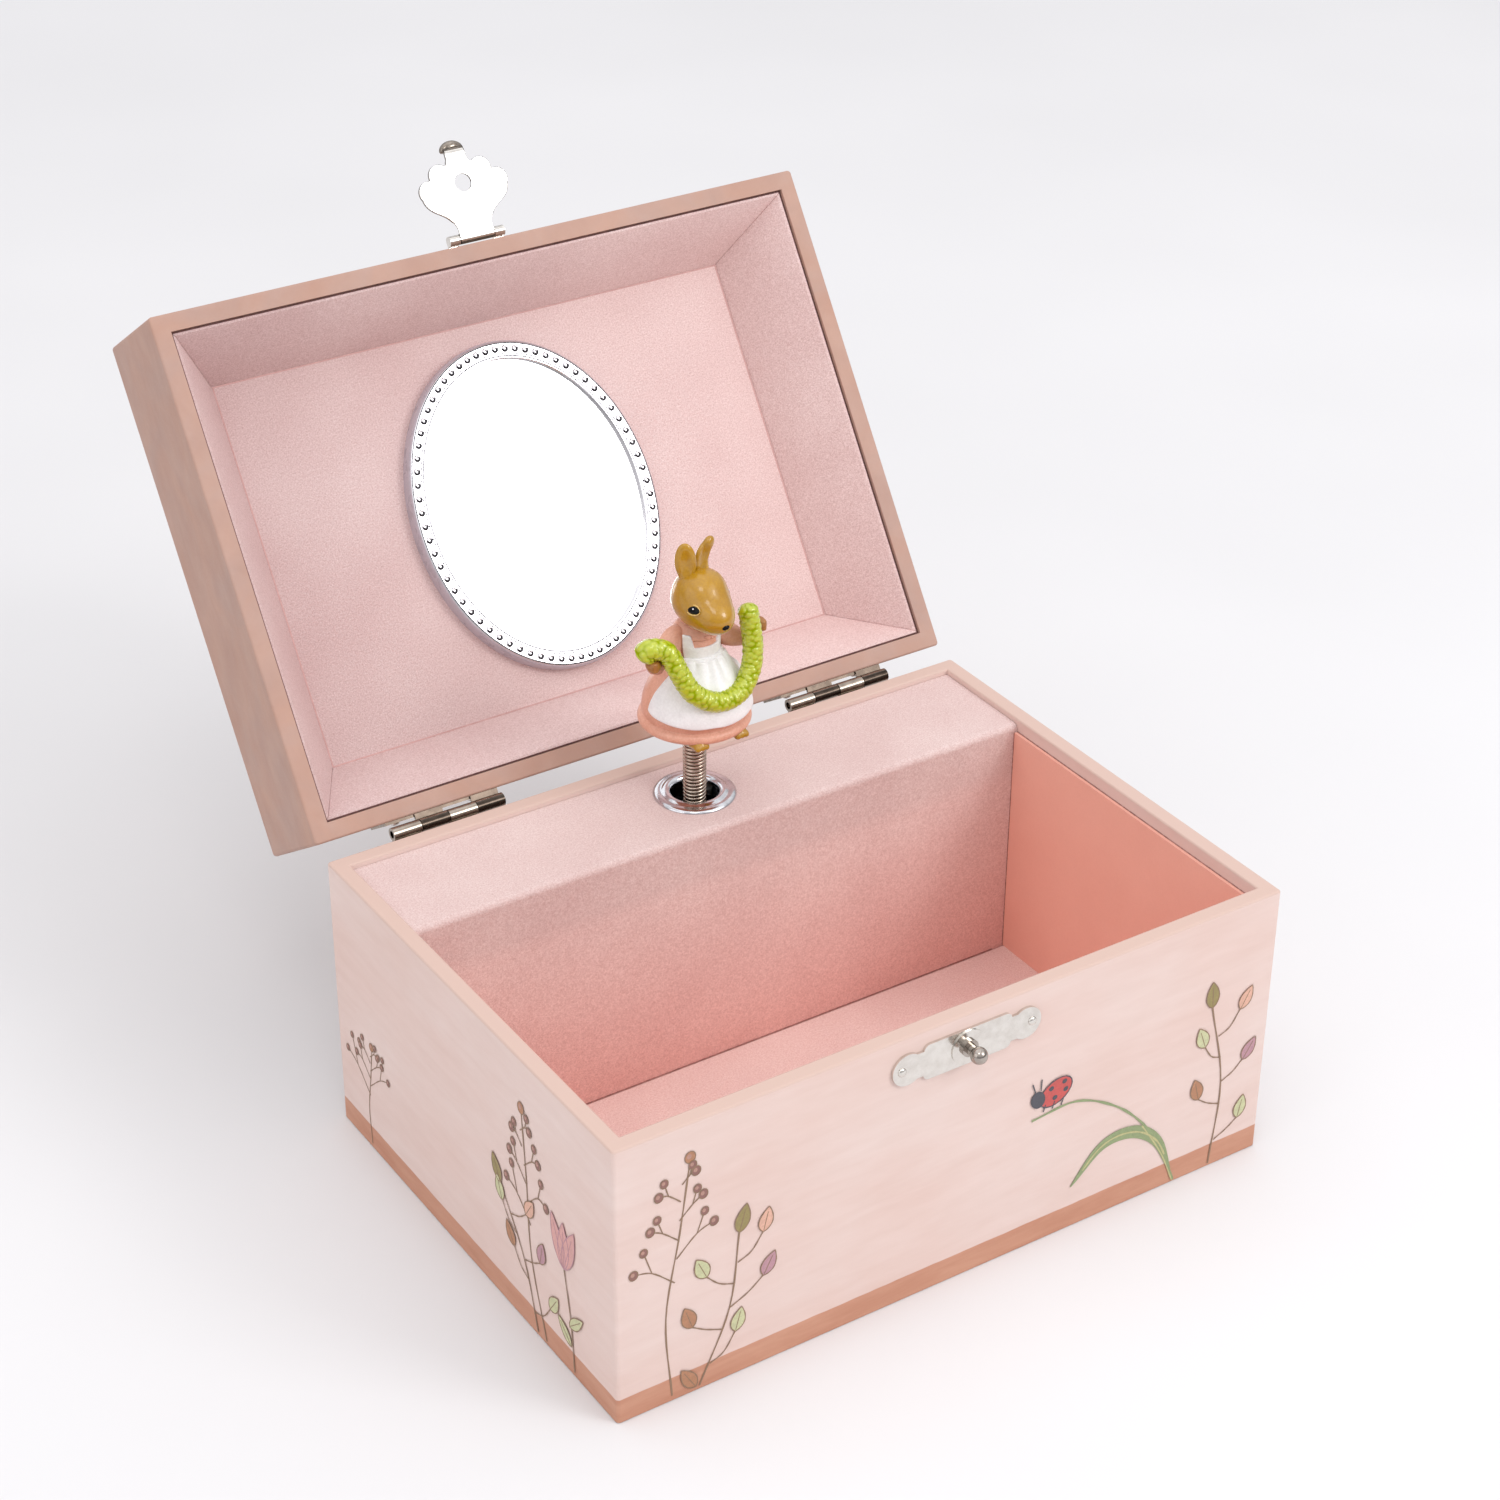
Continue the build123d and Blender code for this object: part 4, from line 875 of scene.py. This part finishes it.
def apron_skirt_spot(across, up):
    bottom = APRON_HEM + 1.9 * abs(across) ** 3.0
    height = bottom + (96.6 - bottom) * up
    angle = radians(86) * across * (1 - 0.32 * up**2)
    lift = fold_wave(angle, height) + 0.62 + pleat(angle, height)
    return round_point(angle, skirt_radius(height) + lift, height)


def apron_band_spot(across, up):
    height = BAND_Z + 1.3 * up
    return round_point(radians(66) * across, skirt_radius(height) + 0.8 + 0.22 * sin(pi * up), height)


def apron_bib_spot(across, up):
    straps = max(0.0, min(1.0, (abs(across) - 0.58) / 0.06))
    height = BIB_Z + (BIB_TOP + 2.6 * straps - BIB_Z) * up
    angle = radians(56) * across * (1 + 0.10 * (height - 97) / 4)
    return round_point(angle, skirt_radius(min(height, 101)) + 0.56, height)


def apron_sheet(name, rows, columns, spot):
    """Thickened, rounded sheet; spot gives its points from -1 to 1 across and 0 to 1 up."""
    across = [2 * column / columns - 1 for column in range(columns + 1)]
    points = [spot(share, row / rows) for row in range(rows + 1) for share in across]
    made = add_piece(name, (points, grid_faces(rows + 1, columns + 1, False, False)), None, "resin_white")
    solid = made.modifiers.new("thick", "SOLIDIFY")
    solid.thickness = APRON_THICKNESS * MM
    solid.offset = -1 if made.data.polygons[0].normal.y < 0 else 1
    round_off = made.modifiers.new("round", "SUBSURF")
    round_off.levels = round_off.render_levels = 1
    graph = bpy.context.evaluated_depsgraph_get()
    mesh = bpy.data.meshes.new_from_object(made.evaluated_get(graph))
    made.modifiers.clear()
    made.data = mesh
    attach(made, "figure")
    mesh.polygons.foreach_set("use_smooth", [True] * len(mesh.polygons))
    return made


def make_apron():
    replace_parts(apron_sheet("apron_skirt", 22, 96, apron_skirt_spot), "figure_apron")
    apron_sheet("apron_band", 5, 48, apron_band_spot)
    apron_sheet("apron_bib", 12, 40, apron_bib_spot)


# ---- figure: head, face, paws and feet, as ellipsoids of (centre, radii, turn) ----
HEAD_CENTRE = np.array((0, 37.0, 108.9))
HEAD_BALLS = [
    ((0, 38.0, 109.3), (5.8, 5.9, 5.55)),
    ((0, 34.4, 107.9), (4.7, 5.6, 4.3)),
    ((0, 31.4, 107.2), (2.6, 3.0, 2.35)),
    ((0, 37.6, 112.2), (4.3, 4.2, 3.0)),
]
HEAD_BLEND = 2.4
NEAR_EAR = [((-2.7, 38.9, 117.6), (2.2, 1.05, 4.2), (0, -3, -30)), ((-2.3, 38.9, 113.8), (1.5, 1.2, 2.4))]
NEAR_EAR_HOLLOW = [((-3.45, 37.5, 118.0), (1.35, 1.25, 3.1), (0, -3, -30))]
FAR_EAR = [
    ((1.2, 39.3, 116.4), (2.0, 1.05, 3.7), (0, 8, 20)), ((2.5, 39.4, 119.2), (1.3, 0.85, 2.2), (0, 30, 15)),
    ((3.3, 39.4, 120.4), (1.0, 0.65, 1.15), (0, 56, 15)), ((1.5, 39.1, 113.8), (1.4, 1.2, 2.4)),
]
FAR_EAR_HOLLOW = [((1.35, 38.2, 117.6), (1.0, 0.8, 2.8), (0, 14, 20))]
# each eye's aim from the head's middle, and how deep it sits
EYES = {-1: ((-4.6, 33.2, 109.9), 0.12), 1: ((4.6, 35.9, 109.9), 0.28)}
EYE_RADII, EYE_LEAN = (0.46, 1.66, 0.86), 0.12
LID_HALF_LENGTH, LID_HALF_HEIGHT = 1.84, 0.98
NOSE_AIM, NOSE_DEPTH, NOSE_RADII = (0, 28.6, 107.0), 0.15, (0.42, 0.86, 0.6)
PAWS = {-1: ((-13.0, 34.6, 99.3), (0, 20, -30)), 1: ((12.2, 35.2, 101.0), (0, -20, 30))}
FOOT_OUT, FOOT_FORWARD, FOOT_Z = 4.8, 8.2, 80.2


def make_head():
    skin = sculpt(HEAD_CENTRE, HEAD_BALLS, HEAD_BLEND, detail=6)
    add_piece("head", skin, "figure", "resin_brown", ("figure_head",))


def make_ears():
    near = sculpt((-2.55, 39.1, 117.0), NEAR_EAR, 0.8, NEAR_EAR_HOLLOW, 0.6, 6, (1.9, 1.0, 4.2), 7)
    far = sculpt((1.7, 39.4, 117.0), FAR_EAR, 0.9, FAR_EAR_HOLLOW, 0.5, 6, (1.9, 1.2, 4.5), 7)
    add_piece("ears", join(near, far), "figure", "resin_brown", ("figure_ears",))


def face_spot(toward, depth):
    """Point under the head's skin in a direction, with outward, forward and upward axes there."""
    ray = (np.array(toward, float) - HEAD_CENTRE)[None, :]
    ray /= np.linalg.norm(ray)
    skin = walk_in(HEAD_CENTRE, ray, HEAD_BALLS, HEAD_BLEND)[0]
    slope = []
    for step in np.eye(3) * 0.05:
        pair = np.array((skin + step, skin - step))
        ahead, behind = np.min([ball_distance(pair, ball) for ball in HEAD_BALLS], axis=0)
        slope.append(ahead - behind)
    out = Vector(slope).normalized()
    level = Vector((0, 0, 1)).cross(out).normalized()
    return Vector(skin) - out * depth, (out, level, out.cross(level))


def eyelid(centre, axes, sign, thickness):
    """Upper or lower lid, as a thin tube round half of the eye."""
    line = []
    for step in range(15):
        turn = pi * step / 14
        over = axes[0] * 0.1 + axes[2] * (sign * LID_HALF_HEIGHT)
        line.append(centre - axes[1] * (LID_HALF_LENGTH * cos(turn)) + over * sin(turn))
    return tube(line, lambda share, angle, length: thickness * (0.35 + sin(pi * share)), 8)


def make_face():
    eyes, glints, lids = [], [], []
    for side, (toward, depth) in EYES.items():
        centre, axes = face_spot(toward, depth)
        tilt = EYE_LEAN * side
        lean = [axes[0], axes[1] - axes[2] * tilt, axes[2] + axes[1] * tilt]
        eyes.append(bead(centre, lean, EYE_RADII))
        light = centre + axes[0] * 0.4 + axes[1] * 0.2 + axes[2] * 0.25
        glints.append(bead(light, axes, (0.12, 0.22, 0.17), 3))
        lids += [eyelid(centre, lean, 1, 0.15), eyelid(centre, lean, -1, 0.13)]
    eyes.append(bead(*face_spot(NOSE_AIM, NOSE_DEPTH), NOSE_RADII))
    matt = {"swing": 0.03, "specular_ior_level": 0.2}
    dark = surface("eye_paint", (2, 2, 3), (7, 6, 6), 2, 0.4, (0.02, 0.02), roughness=0.22, **matt)
    white = surface("glint_paint", (232, 234, 238), (250, 250, 252), 1, 0.3, (0.02, 0.02), roughness=0.3)
    tan = surface("eyelid_paint", (206, 168, 92), (226, 190, 118), 1, 0.3, (0.02, 0.02), roughness=0.35)
    add_piece("eyes_nose", join(*eyes), "figure", "resin_brown", (), dark)
    add_piece("eye_glints", join(*glints), "figure", "resin_brown", (), white)
    add_piece("eyelids", join(*lids), "figure", "resin_brown", (), tan)


def make_paws():
    paws = []
    for side, (centre, turn) in PAWS.items():
        x, y, z = centre
        balls = [(centre, (1.7, 1.9, 1.55), turn)]
        balls += [((x + side * 0.5, y - 1.1, z + up), (0.8, 0.9, 0.5)) for up in (-0.7, 0.1, 0.8)]
        paws.append(sculpt(centre, balls, 0.3, detail=4, reach=5))
    look = {"roughness": 0.35, "coat_weight": 0.2}
    brown = surface("paw_paint", (150, 96, 40), (172, 118, 58), 2.0, 0.4, (0.05, 0.04), **look)
    add_piece("paws", join(*paws), "figure", "resin_brown", ("figure_paws",), brown)


def make_feet():
    feet = []
    for side in (-1, 1):
        x, y, z = centre = (side * FOOT_OUT, FIGURE_Y - FOOT_FORWARD, FOOT_Z)
        balls = [(centre, (1.8, 2.8, 1.55))]
        balls += [((x + out, y - 2.1, z - 0.3), (0.7, 1.0, 0.8)) for out in (-1.0, 0, 1.0)]
        feet.append(sculpt(centre, balls, 0.3, detail=4, reach=6))
    add_piece("feet", join(*feet), "figure", "resin_brown", ("figure_feet",))


# ---- garland and spring ----
GARLAND_LINE = [
    (-14.9, 36.2, 100.6), (-13.4, 34.8, 102.7), (-10.6, 33.4, 101.9), (-8.8, 31.8, 97.6), (-6.2, 30.3, 92.6),
    (-1.0, 29.4, 89.5), (4.6, 30.2, 89.8), (8.0, 31.4, 93.2), (9.3, 32.5, 97.6), (9.4, 33.5, 102.2),
    (9.0, 34.5, 106.9),
]
GARLAND_SIDES, GARLAND_TWIST = 54, 0.05
LUMP_CELLS, LUMP_PITCH, LUMP_HEIGHT = 9, 0.95, 0.24
GARLAND_RADIUS, START_SWELL, START_LENGTH, CAP_LENGTH = 1.98, 0.5, 5.0, 1.7
WIRE_RADIUS, SPRING_TURNS, STEPS_PER_TURN = 0.37, 29, 20


def lump_at(length, angle):
    """Height of the knitted lumps, from 0 in a gap to 1 on top."""
    row = length / LUMP_PITCH
    best = 9.0
    for near in range(int(row) - 1, int(row) + 3):
        for step in range(LUMP_CELLS):
            shift = 0.5 * (near % 2) + 0.22 * sin(near * 12.9 + step * 78.2)
            across = (angle / tau * LUMP_CELLS - step + shift) % LUMP_CELLS
            offset = min(across, LUMP_CELLS - across)
            along = row - near + 0.26 * sin(near * 39.3 + step * 11.1)
            best = min(best, along * along + offset * offset * 1.1)
    return max(0.0, 1 - best * 1.9)


def make_garland():
    path = smooth_path(GARLAND_LINE, 36)
    lengths = lengths_along(path)
    angles = [tau * step / GARLAND_SIDES for step in range(GARLAND_SIDES)]
    lumps = {length: [lump_at(length, angle) for angle in angles] for length in lengths}

    def radius(share, angle, length):
        end = min(length, lengths[-1] - length)
        cap = max(0.0, 1 - max(0.0, 1 - end / CAP_LENGTH) ** 2) ** 0.5
        thick = GARLAND_RADIUS + START_SWELL * max(0.0, 1 - length / START_LENGTH)
        lump = lumps[length][round(angle / tau * GARLAND_SIDES) % GARLAND_SIDES]
        return max(0.04, (thick + LUMP_HEIGHT * lump) * cap)

    shape = tube(path, radius, GARLAND_SIDES, GARLAND_TWIST)
    made = add_piece("garland", shape, "figure", "resin_green", ("figure_garland",))
    values = [value for length in lengths for value in lumps[length]]
    made.data.attributes.new("lump", "FLOAT", "POINT").data.foreach_set("value", values)


def make_spring():
    low, high = node_box("spring_neck")
    radius = (high.x - low.x) / 2 - WIRE_RADIUS
    path = []
    for step in range(SPRING_TURNS * STEPS_PER_TURN + 1):
        turn = tau * step / STEPS_PER_TURN
        climb = (high.z - low.z - 2 * WIRE_RADIUS) * step / (SPRING_TURNS * STEPS_PER_TURN)
        spot = (SPINDLE.x + radius * cos(turn), SPINDLE.y + radius * sin(turn), low.z + WIRE_RADIUS + climb)
        path.append(spot)
    coil = tube(path, lambda share, angle, length: WIRE_RADIUS, 8)
    made = add_piece("spring_coil", coil, None, "spring_steel", ("spring_neck",))
    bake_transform(made)


# ---- printed sprigs: drawn in (across, up) millimetres on a wall ----
PRINT_THICKNESS = 0.02
STROKE_STEP = 0.0008          # each stroke lies this much above the one before


def across_to(way):
    """A quarter turn left from a direction on the page."""
    return Vector((-way.y, way.x))


def ellipse(centre, half, steps, turn=0.0):
    outline = []
    for t in np.linspace(0, tau, steps + 1)[:-1]:
        x, y = half[0] * cos(t), half[1] * sin(t)
        spot = (centre[0] + x * cos(turn) - y * sin(turn), centre[1] + x * sin(turn) + y * cos(turn))
        outline.append(spot)
    return outline


class Print:
    """Flat printed shapes on a wall, given a hair of thickness; spot places (across, up, lift)."""

    def __init__(self, spot):
        self.spot = spot
        self.points, self.faces, self.inks = [], [], []
        self.strokes = 0

    def next_lift(self, lift):
        self.strokes += 1
        return lift + STROKE_STEP * self.strokes

    def shape(self, outline, ink, lift):
        lift = self.next_lift(lift)
        start = len(self.points)
        self.points += [self.spot(across, up, lift) for across, up in outline]
        self.faces.append(tuple(range(start, start + len(outline))))
        self.inks.append(ink)

    def line(self, path, width, ink, lift=0.05, closed=False):
        lift = self.next_lift(lift)
        path = [Vector(point) for point in path]
        count = len(path)
        start = len(self.points)
        for index, point in enumerate(path):
            before = path[index - 1] if closed else path[max(index - 1, 0)]
            after = path[(index + 1) % count] if closed else path[min(index + 1, count - 1)]
            side = across_to(after - before).normalized() * width / 2
            swell = 1 + 0.25 * sin(index * 1.7)
            for edge in (side * swell, -side * swell):
                self.points.append(self.spot(point.x + edge.x, point.y + edge.y, lift))
        for index in range(count if closed else count - 1):
            low, high = start + 2 * index, start + 2 * ((index + 1) % count)
            self.faces.append((low, low + 1, high + 1, high))
            self.inks.append(ink)

    def curve(self, points, width, ink, lift=0.05):
        self.line(smooth_path(points, 6), width, ink, lift)

    def leaf(self, base, tip, width, fill, vein="stem"):
        base, along = Vector(base), Vector(tip) - Vector(base)
        side = across_to(along).normalized() * width / 2
        outline = []
        for edge in (1, -1):
            for step in range(12):
                t = step / 12 if edge == 1 else 1 - step / 12
                outline.append(base + along * t + side * sin(pi * t**0.8) ** 0.85 * edge)
        self.shape(outline, fill, 0.08)
        self.line(outline, 0.22, vein, 0.11, True)
        self.line([base + along * t for t in (0.05, 0.4, 0.8)], 0.14, vein, 0.11)

    def berry(self, centre, radius, ink="berry"):
        ring = ellipse(centre, (radius, 1.15 * radius), 13)
        self.shape(ring, ink, 0.08)
        shine = (centre[0] - 0.2 * radius, centre[1] + 0.2 * radius)
        self.shape(ellipse(shine, (0.45 * radius, 0.5 * radius), 9), "berry_light", 0.11)
        self.line(ring, 0.18, "stem", 0.11, True)

    def finish(self, name, out):
        """Gives every shape its thickness, with walls round the open edges, and makes the piece."""
        out = Vector(out)
        count = len(self.points)
        tops = [Vector(point) + out * PRINT_THICKNESS for point in self.points]
        sides = [[(face[k - 1], face[k]) for k in range(len(face))] for face in self.faces]
        uses = Counter(frozenset(edge) for edges in sides for edge in edges)
        faces, inks = [], []
        for face, edges, ink in zip(self.faces, sides, self.inks):
            walls = [(a, b, b + count, a + count) for a, b in edges if uses[frozenset((a, b))] == 1]
            made = [face, tuple(index + count for index in face), *walls]
            faces += made
            inks += [ink] * len(made)
        mesh = make_mesh(name, [*self.points, *tops], faces)
        names = sorted(set(inks))
        for ink in names:
            mesh.materials.append(INKS[ink])
        mesh.polygons.foreach_set("material_index", [names.index(ink) for ink in inks])
        add_piece(name, mesh, "root", "body_paper", smooth=False)


INK_COLOURS = {
    "stem": (150, 122, 98), "grass": (150, 164, 120), "grass_light": (198, 192, 140),
    "berry": (150, 108, 100), "berry_light": (190, 146, 132), "leaf_green": (208, 208, 164),
    "leaf_olive": (158, 142, 92), "leaf_peach": (232, 182, 160), "leaf_brown": (186, 134, 102),
    "leaf_mauve": (194, 148, 158), "petal": (222, 168, 162), "beetle_red": (206, 92, 88),
    "beetle_dark": (84, 84, 92),
}
INKS = {}
for name, colour in INK_COLOURS.items():
    shade = [channel * 0.9 for channel in colour]
    INKS[name] = surface("ink_" + name, shade, colour, 1.8, 0.35, (0.08, 0.04), roughness=0.58)


def berry_sprig(page, base, top, reach, seed, size=1.0):
    """Upright stem with forked twigs that end in berries."""
    draw = random.Random(seed)
    base, top = Vector(base), Vector(top)
    along = top - base
    bend = across_to(along) * 0.05
    page.curve([base, base + along * 0.35 + bend, base + along * 0.7 + bend * 0.4, top], 0.34 * size, "stem")
    page.berry(top + Vector((0, 0.8 * size)), 1.15 * size, "leaf_brown")
    for index, share in enumerate((0.5, 0.6, 0.68, 0.76, 0.84, 0.91)):
        side = 1 if index % 2 else -1
        start = base + along * share + bend * 0.5
        length = reach * (1.15 - 0.75 * (share - 0.5) / 0.41) * draw.uniform(0.85, 1.1)
        elbow = start + Vector((side * length * 0.55, length * 0.5))
        tip = start + Vector((side * length, length * draw.uniform(0.45, 0.8)))
        fork = elbow + Vector((side * length * 0.2, length * draw.uniform(0.55, 0.75)))
        page.curve([start, elbow, tip], 0.26 * size, "stem")
        page.line([elbow, fork], 0.22 * size, "stem")
        page.berry(tip, 0.95 * size)
        page.berry(fork, 0.85 * size)


def leaf_sprig(page, base, top, reach, seed, size=1.0):
    """Leaning stem with a leaf at the end of each twig."""
    draw = random.Random(seed)
    fills = ("leaf_green", "leaf_brown", "leaf_mauve", "leaf_green", "leaf_peach")
    base, top = Vector(base), Vector(top)
    along = top - base
    bend = across_to(along) * -0.07
    page.curve([base, base + along * 0.5 + bend, top], 0.34 * size, "stem")
    page.leaf(top, top + along.normalized() * 6.4 * size, 3.3 * size, "leaf_olive")
    for index, share in enumerate((0.14, 0.36, 0.5, 0.66, 0.8)):
        side = -1 if index % 2 else 1
        start = base + along * share + bend * 4 * share * (1 - share)
        length = reach * draw.uniform(0.75, 1.1)
        tip = start + Vector((side * length, length * draw.uniform(0.5, 0.95)))
        page.curve([start, start + Vector((side * length * 0.55, length * 0.25)), tip], 0.26 * size, "stem")
        lean = Vector((side * draw.uniform(0.2, 0.7), 1)).normalized() * 5.6 * size
        page.leaf(tip, tip + lean, 3.2 * size, fills[index])


def tulip(page, base, top):
    """Three-petalled bloom on a short leafy stem."""
    base, top = Vector(base), Vector(top)
    page.curve([base, (base + top) / 2 + Vector((0.6, 0)), top], 0.34, "stem")
    for lean in (-0.42, 0.4, 0.0):
        page.leaf(top, top + Vector((lean * 10, 11)), 4.0, "petal", "leaf_mauve")
    for side, share in ((-1, 0.25), (1, 0.45)):
        start = base + (top - base) * share
        page.leaf(start, start + Vector((side * 5.0, 4.6)), 2.6, "leaf_green")


def grass(page):
    """Bent grass stalk with a narrow blade."""
    stalk = [(55.3, 0.4), (51.5, 9.5), (46.0, 18.5), (38.0, 26.4), (28.0, 31.6), (17.0, 31.2)]
    page.curve(stalk, 0.5, "grass")
    page.curve([(55.0, 0.4), (51.2, 9.2), (45.7, 18.2)], 0.3, "grass_light", 0.08)
    ridge = smooth_path([(54.2, 3.4), (50.0, 12.6), (43.5, 17.6), (35.5, 17.4), (28.0, 10.2)], 8)
    last = len(ridge) - 1
    edges = []
    for index, point in enumerate(ridge):
        ahead = Vector(ridge[min(index + 1, last)] - ridge[max(index - 1, 0)])
        swell = 1.5 * sin(pi * min(1.0, index / last * 0.97 + 0.02)) ** 0.7
        side = across_to(ahead).normalized() * swell
        edges.append([(point[0] + side.x * way, point[1] + side.y * way) for way in (1, -1)])
    for near, far in zip(edges, edges[1:]):
        page.shape([near[0], far[0], far[1], near[1]], "grass", 0.06)
    page.line(ridge[4:-3], 0.4, "grass_light", 0.09)


def beetle(page):
    """Small plain beetle walking up the grass."""
    turn = radians(24)
    back = ellipse((22.6, 36.2), (4.1, 2.9), 20, turn)
    page.shape(back, "beetle_red", 0.06)
    page.line(back, 0.25, "beetle_dark", 0.09, True)
    page.shape(ellipse((18.2, 35.9), (1.7, 2.1), 20, turn), "beetle_dark", 0.1)
    for spot in ((21.4, 37.4), (24.6, 38.0), (22.4, 34.9), (25.0, 36.0)):
        page.shape(ellipse(spot, (0.62, 0.55), 10, turn), "beetle_dark", 0.1)
    page.line([(17.6, 37.6), (16.7, 40.2)], 0.24, "beetle_dark", 0.1)
    page.line([(18.8, 37.9), (18.9, 40.6)], 0.24, "beetle_dark", 0.1)
    for foot in (20.2, 22.4, 24.6):
        page.line([(foot, 34.0), (foot - 0.5, 32.4)], 0.24, "beetle_dark", 0.09)


def print_walls():
    front = Print(lambda across, up, lift: (across, FRONT_Y - lift, up))
    berry_sprig(front, (-65.6, 1.2), (-61.4, 55.0), 8.4, 3)
    leaf_sprig(front, (-59.6, 0.8), (-50.8, 33.8), 6.8, 8)
    front.leaf((-60.4, 1.0), (-63.6, 6.4), 3.0, "leaf_brown")
    leaf_sprig(front, (64.6, 0.6), (61.8, 41.0), 5.4, 22)
    grass(front)
    beetle(front)
    front.finish("printed_sprigs_front", (0, -1, 0))
    left = Print(lambda across, up, lift: (LEFT_X - lift, -across, up))
    berry_sprig(left, (-42.6, 1.0), (-40.2, 26.4), 8.0, 5, 0.75)
    berry_sprig(left, (29.6, 0.8), (22.6, 51.4), 8.0, 12)
    leaf_sprig(left, (26.4, 0.8), (13.4, 28.6), 6.4, 17)
    tulip(left, (40.2, 1.0), (37.2, 24.2))
    left.finish("printed_sprigs_left", (-1, 0, 0))


# ---- floor, lights and camera, in metres ----
AIM = (0, 0.04, 0.08)
# name, place, size, power
LIGHTS = [
    ("key_softbox", (0.62, -0.95, 0.95), 1.1, 3.1),
    ("key_glint", (0.55, -0.86, 0.8), 0.4, 3.4),
    ("top_softbox", (-0.1, 0.1, 1.5), 1.4, 2.5),
    ("fill_softbox", (-1.3, -0.15, 0.6), 1.0, 2.4),
    ("high_glint", (-0.36, -0.5, 1.1), 0.32, 1.2),
]
AZIMUTH, ELEVATION, ROLL = radians(-33.261), radians(30.742), radians(0.382)
CAMERA_PLACE = Vector((-0.30190, -0.43952, 0.41356))
SENSOR_WIDTH, LENS, SHIFT = 36, 76.65, (0.0029, -0.0111)
FLOOR_SIZE, FLOOR_Z = 24, -0.0002


def make_stage():
    bpy.ops.mesh.primitive_plane_add(size=FLOOR_SIZE, location=(0, 0, FLOOR_Z))
    floor = bpy.context.active_object
    floor.name = "studio_floor"
    made, tree, shader = new_material("studio_paper", roughness=0.85, specular_ior_level=0.2)
    clouds = noise_at(tree, object_vector(tree), 180, 2.0)
    wire(shader, "Base Color", tones(tree, remap(tree, clouds, 0.3, 0.7), (223, 222, 223), (227, 226, 227)))
    floor.data.materials.append(made)


def make_world():
    """Plain studio surroundings, brighter overhead."""
    world = bpy.data.worlds.new("studio_world")
    scene.world = world
    world.use_nodes = True
    tree = world.node_tree
    background = tree.nodes["Background"]
    background.inputs["Color"].default_value = (0.95, 0.95, 0.97, 1.0)
    direction = add_node(tree, "ShaderNodeTexCoord").outputs["Generated"]
    wire(background, "Strength", remap(tree, height_in(tree, direction), 0.05, 0.7, 0.38, 1.1))


def add_light(name, place, size, power):
    data = bpy.data.lights.new(name, "AREA")
    data.shape = "RECTANGLE"
    data.size = data.size_y = size
    data.energy = power
    made = bpy.data.objects.new(name, data)
    made.location = place
    made.rotation_mode = "QUATERNION"
    made.rotation_quaternion = (Vector(AIM) - Vector(place)).to_track_quat("-Z", "Y")
    scene.collection.objects.link(made)


def make_camera():
    back = Vector((sin(AZIMUTH) * cos(ELEVATION), -cos(AZIMUTH) * cos(ELEVATION), sin(ELEVATION)))
    right = Vector((cos(AZIMUTH), sin(AZIMUTH), 0))
    up = back.cross(right)
    across = right * cos(ROLL) + up * sin(ROLL)
    over = up * cos(ROLL) - right * sin(ROLL)
    data = bpy.data.cameras.new("camera")
    data.sensor_width = SENSOR_WIDTH
    data.lens = LENS
    data.shift_x, data.shift_y = SHIFT
    data.clip_start, data.clip_end = 0.05, 60
    made = bpy.data.objects.new("camera", data)
    place = Matrix((across, over, back)).transposed().to_4x4()
    place.translation = CAMERA_PLACE
    made.matrix_world = place
    scene.collection.objects.link(made)
    scene.camera = made


# ---- build ----
make_linings()
oval = MirrorFrame()
make_mirror_ring(oval)
make_mirror_marks(oval)
make_dress()
make_apron()
make_head()
make_ears()
make_face()
make_paws()
make_feet()
make_garland()
make_spring()
make_eyelet()
make_hasp_lip()
make_hasp_edge_shade()
make_compartment_joints()
print_walls()
make_lid_lines()
make_stage()
make_world()
for light in LIGHTS:
    add_light(*light)
make_camera()
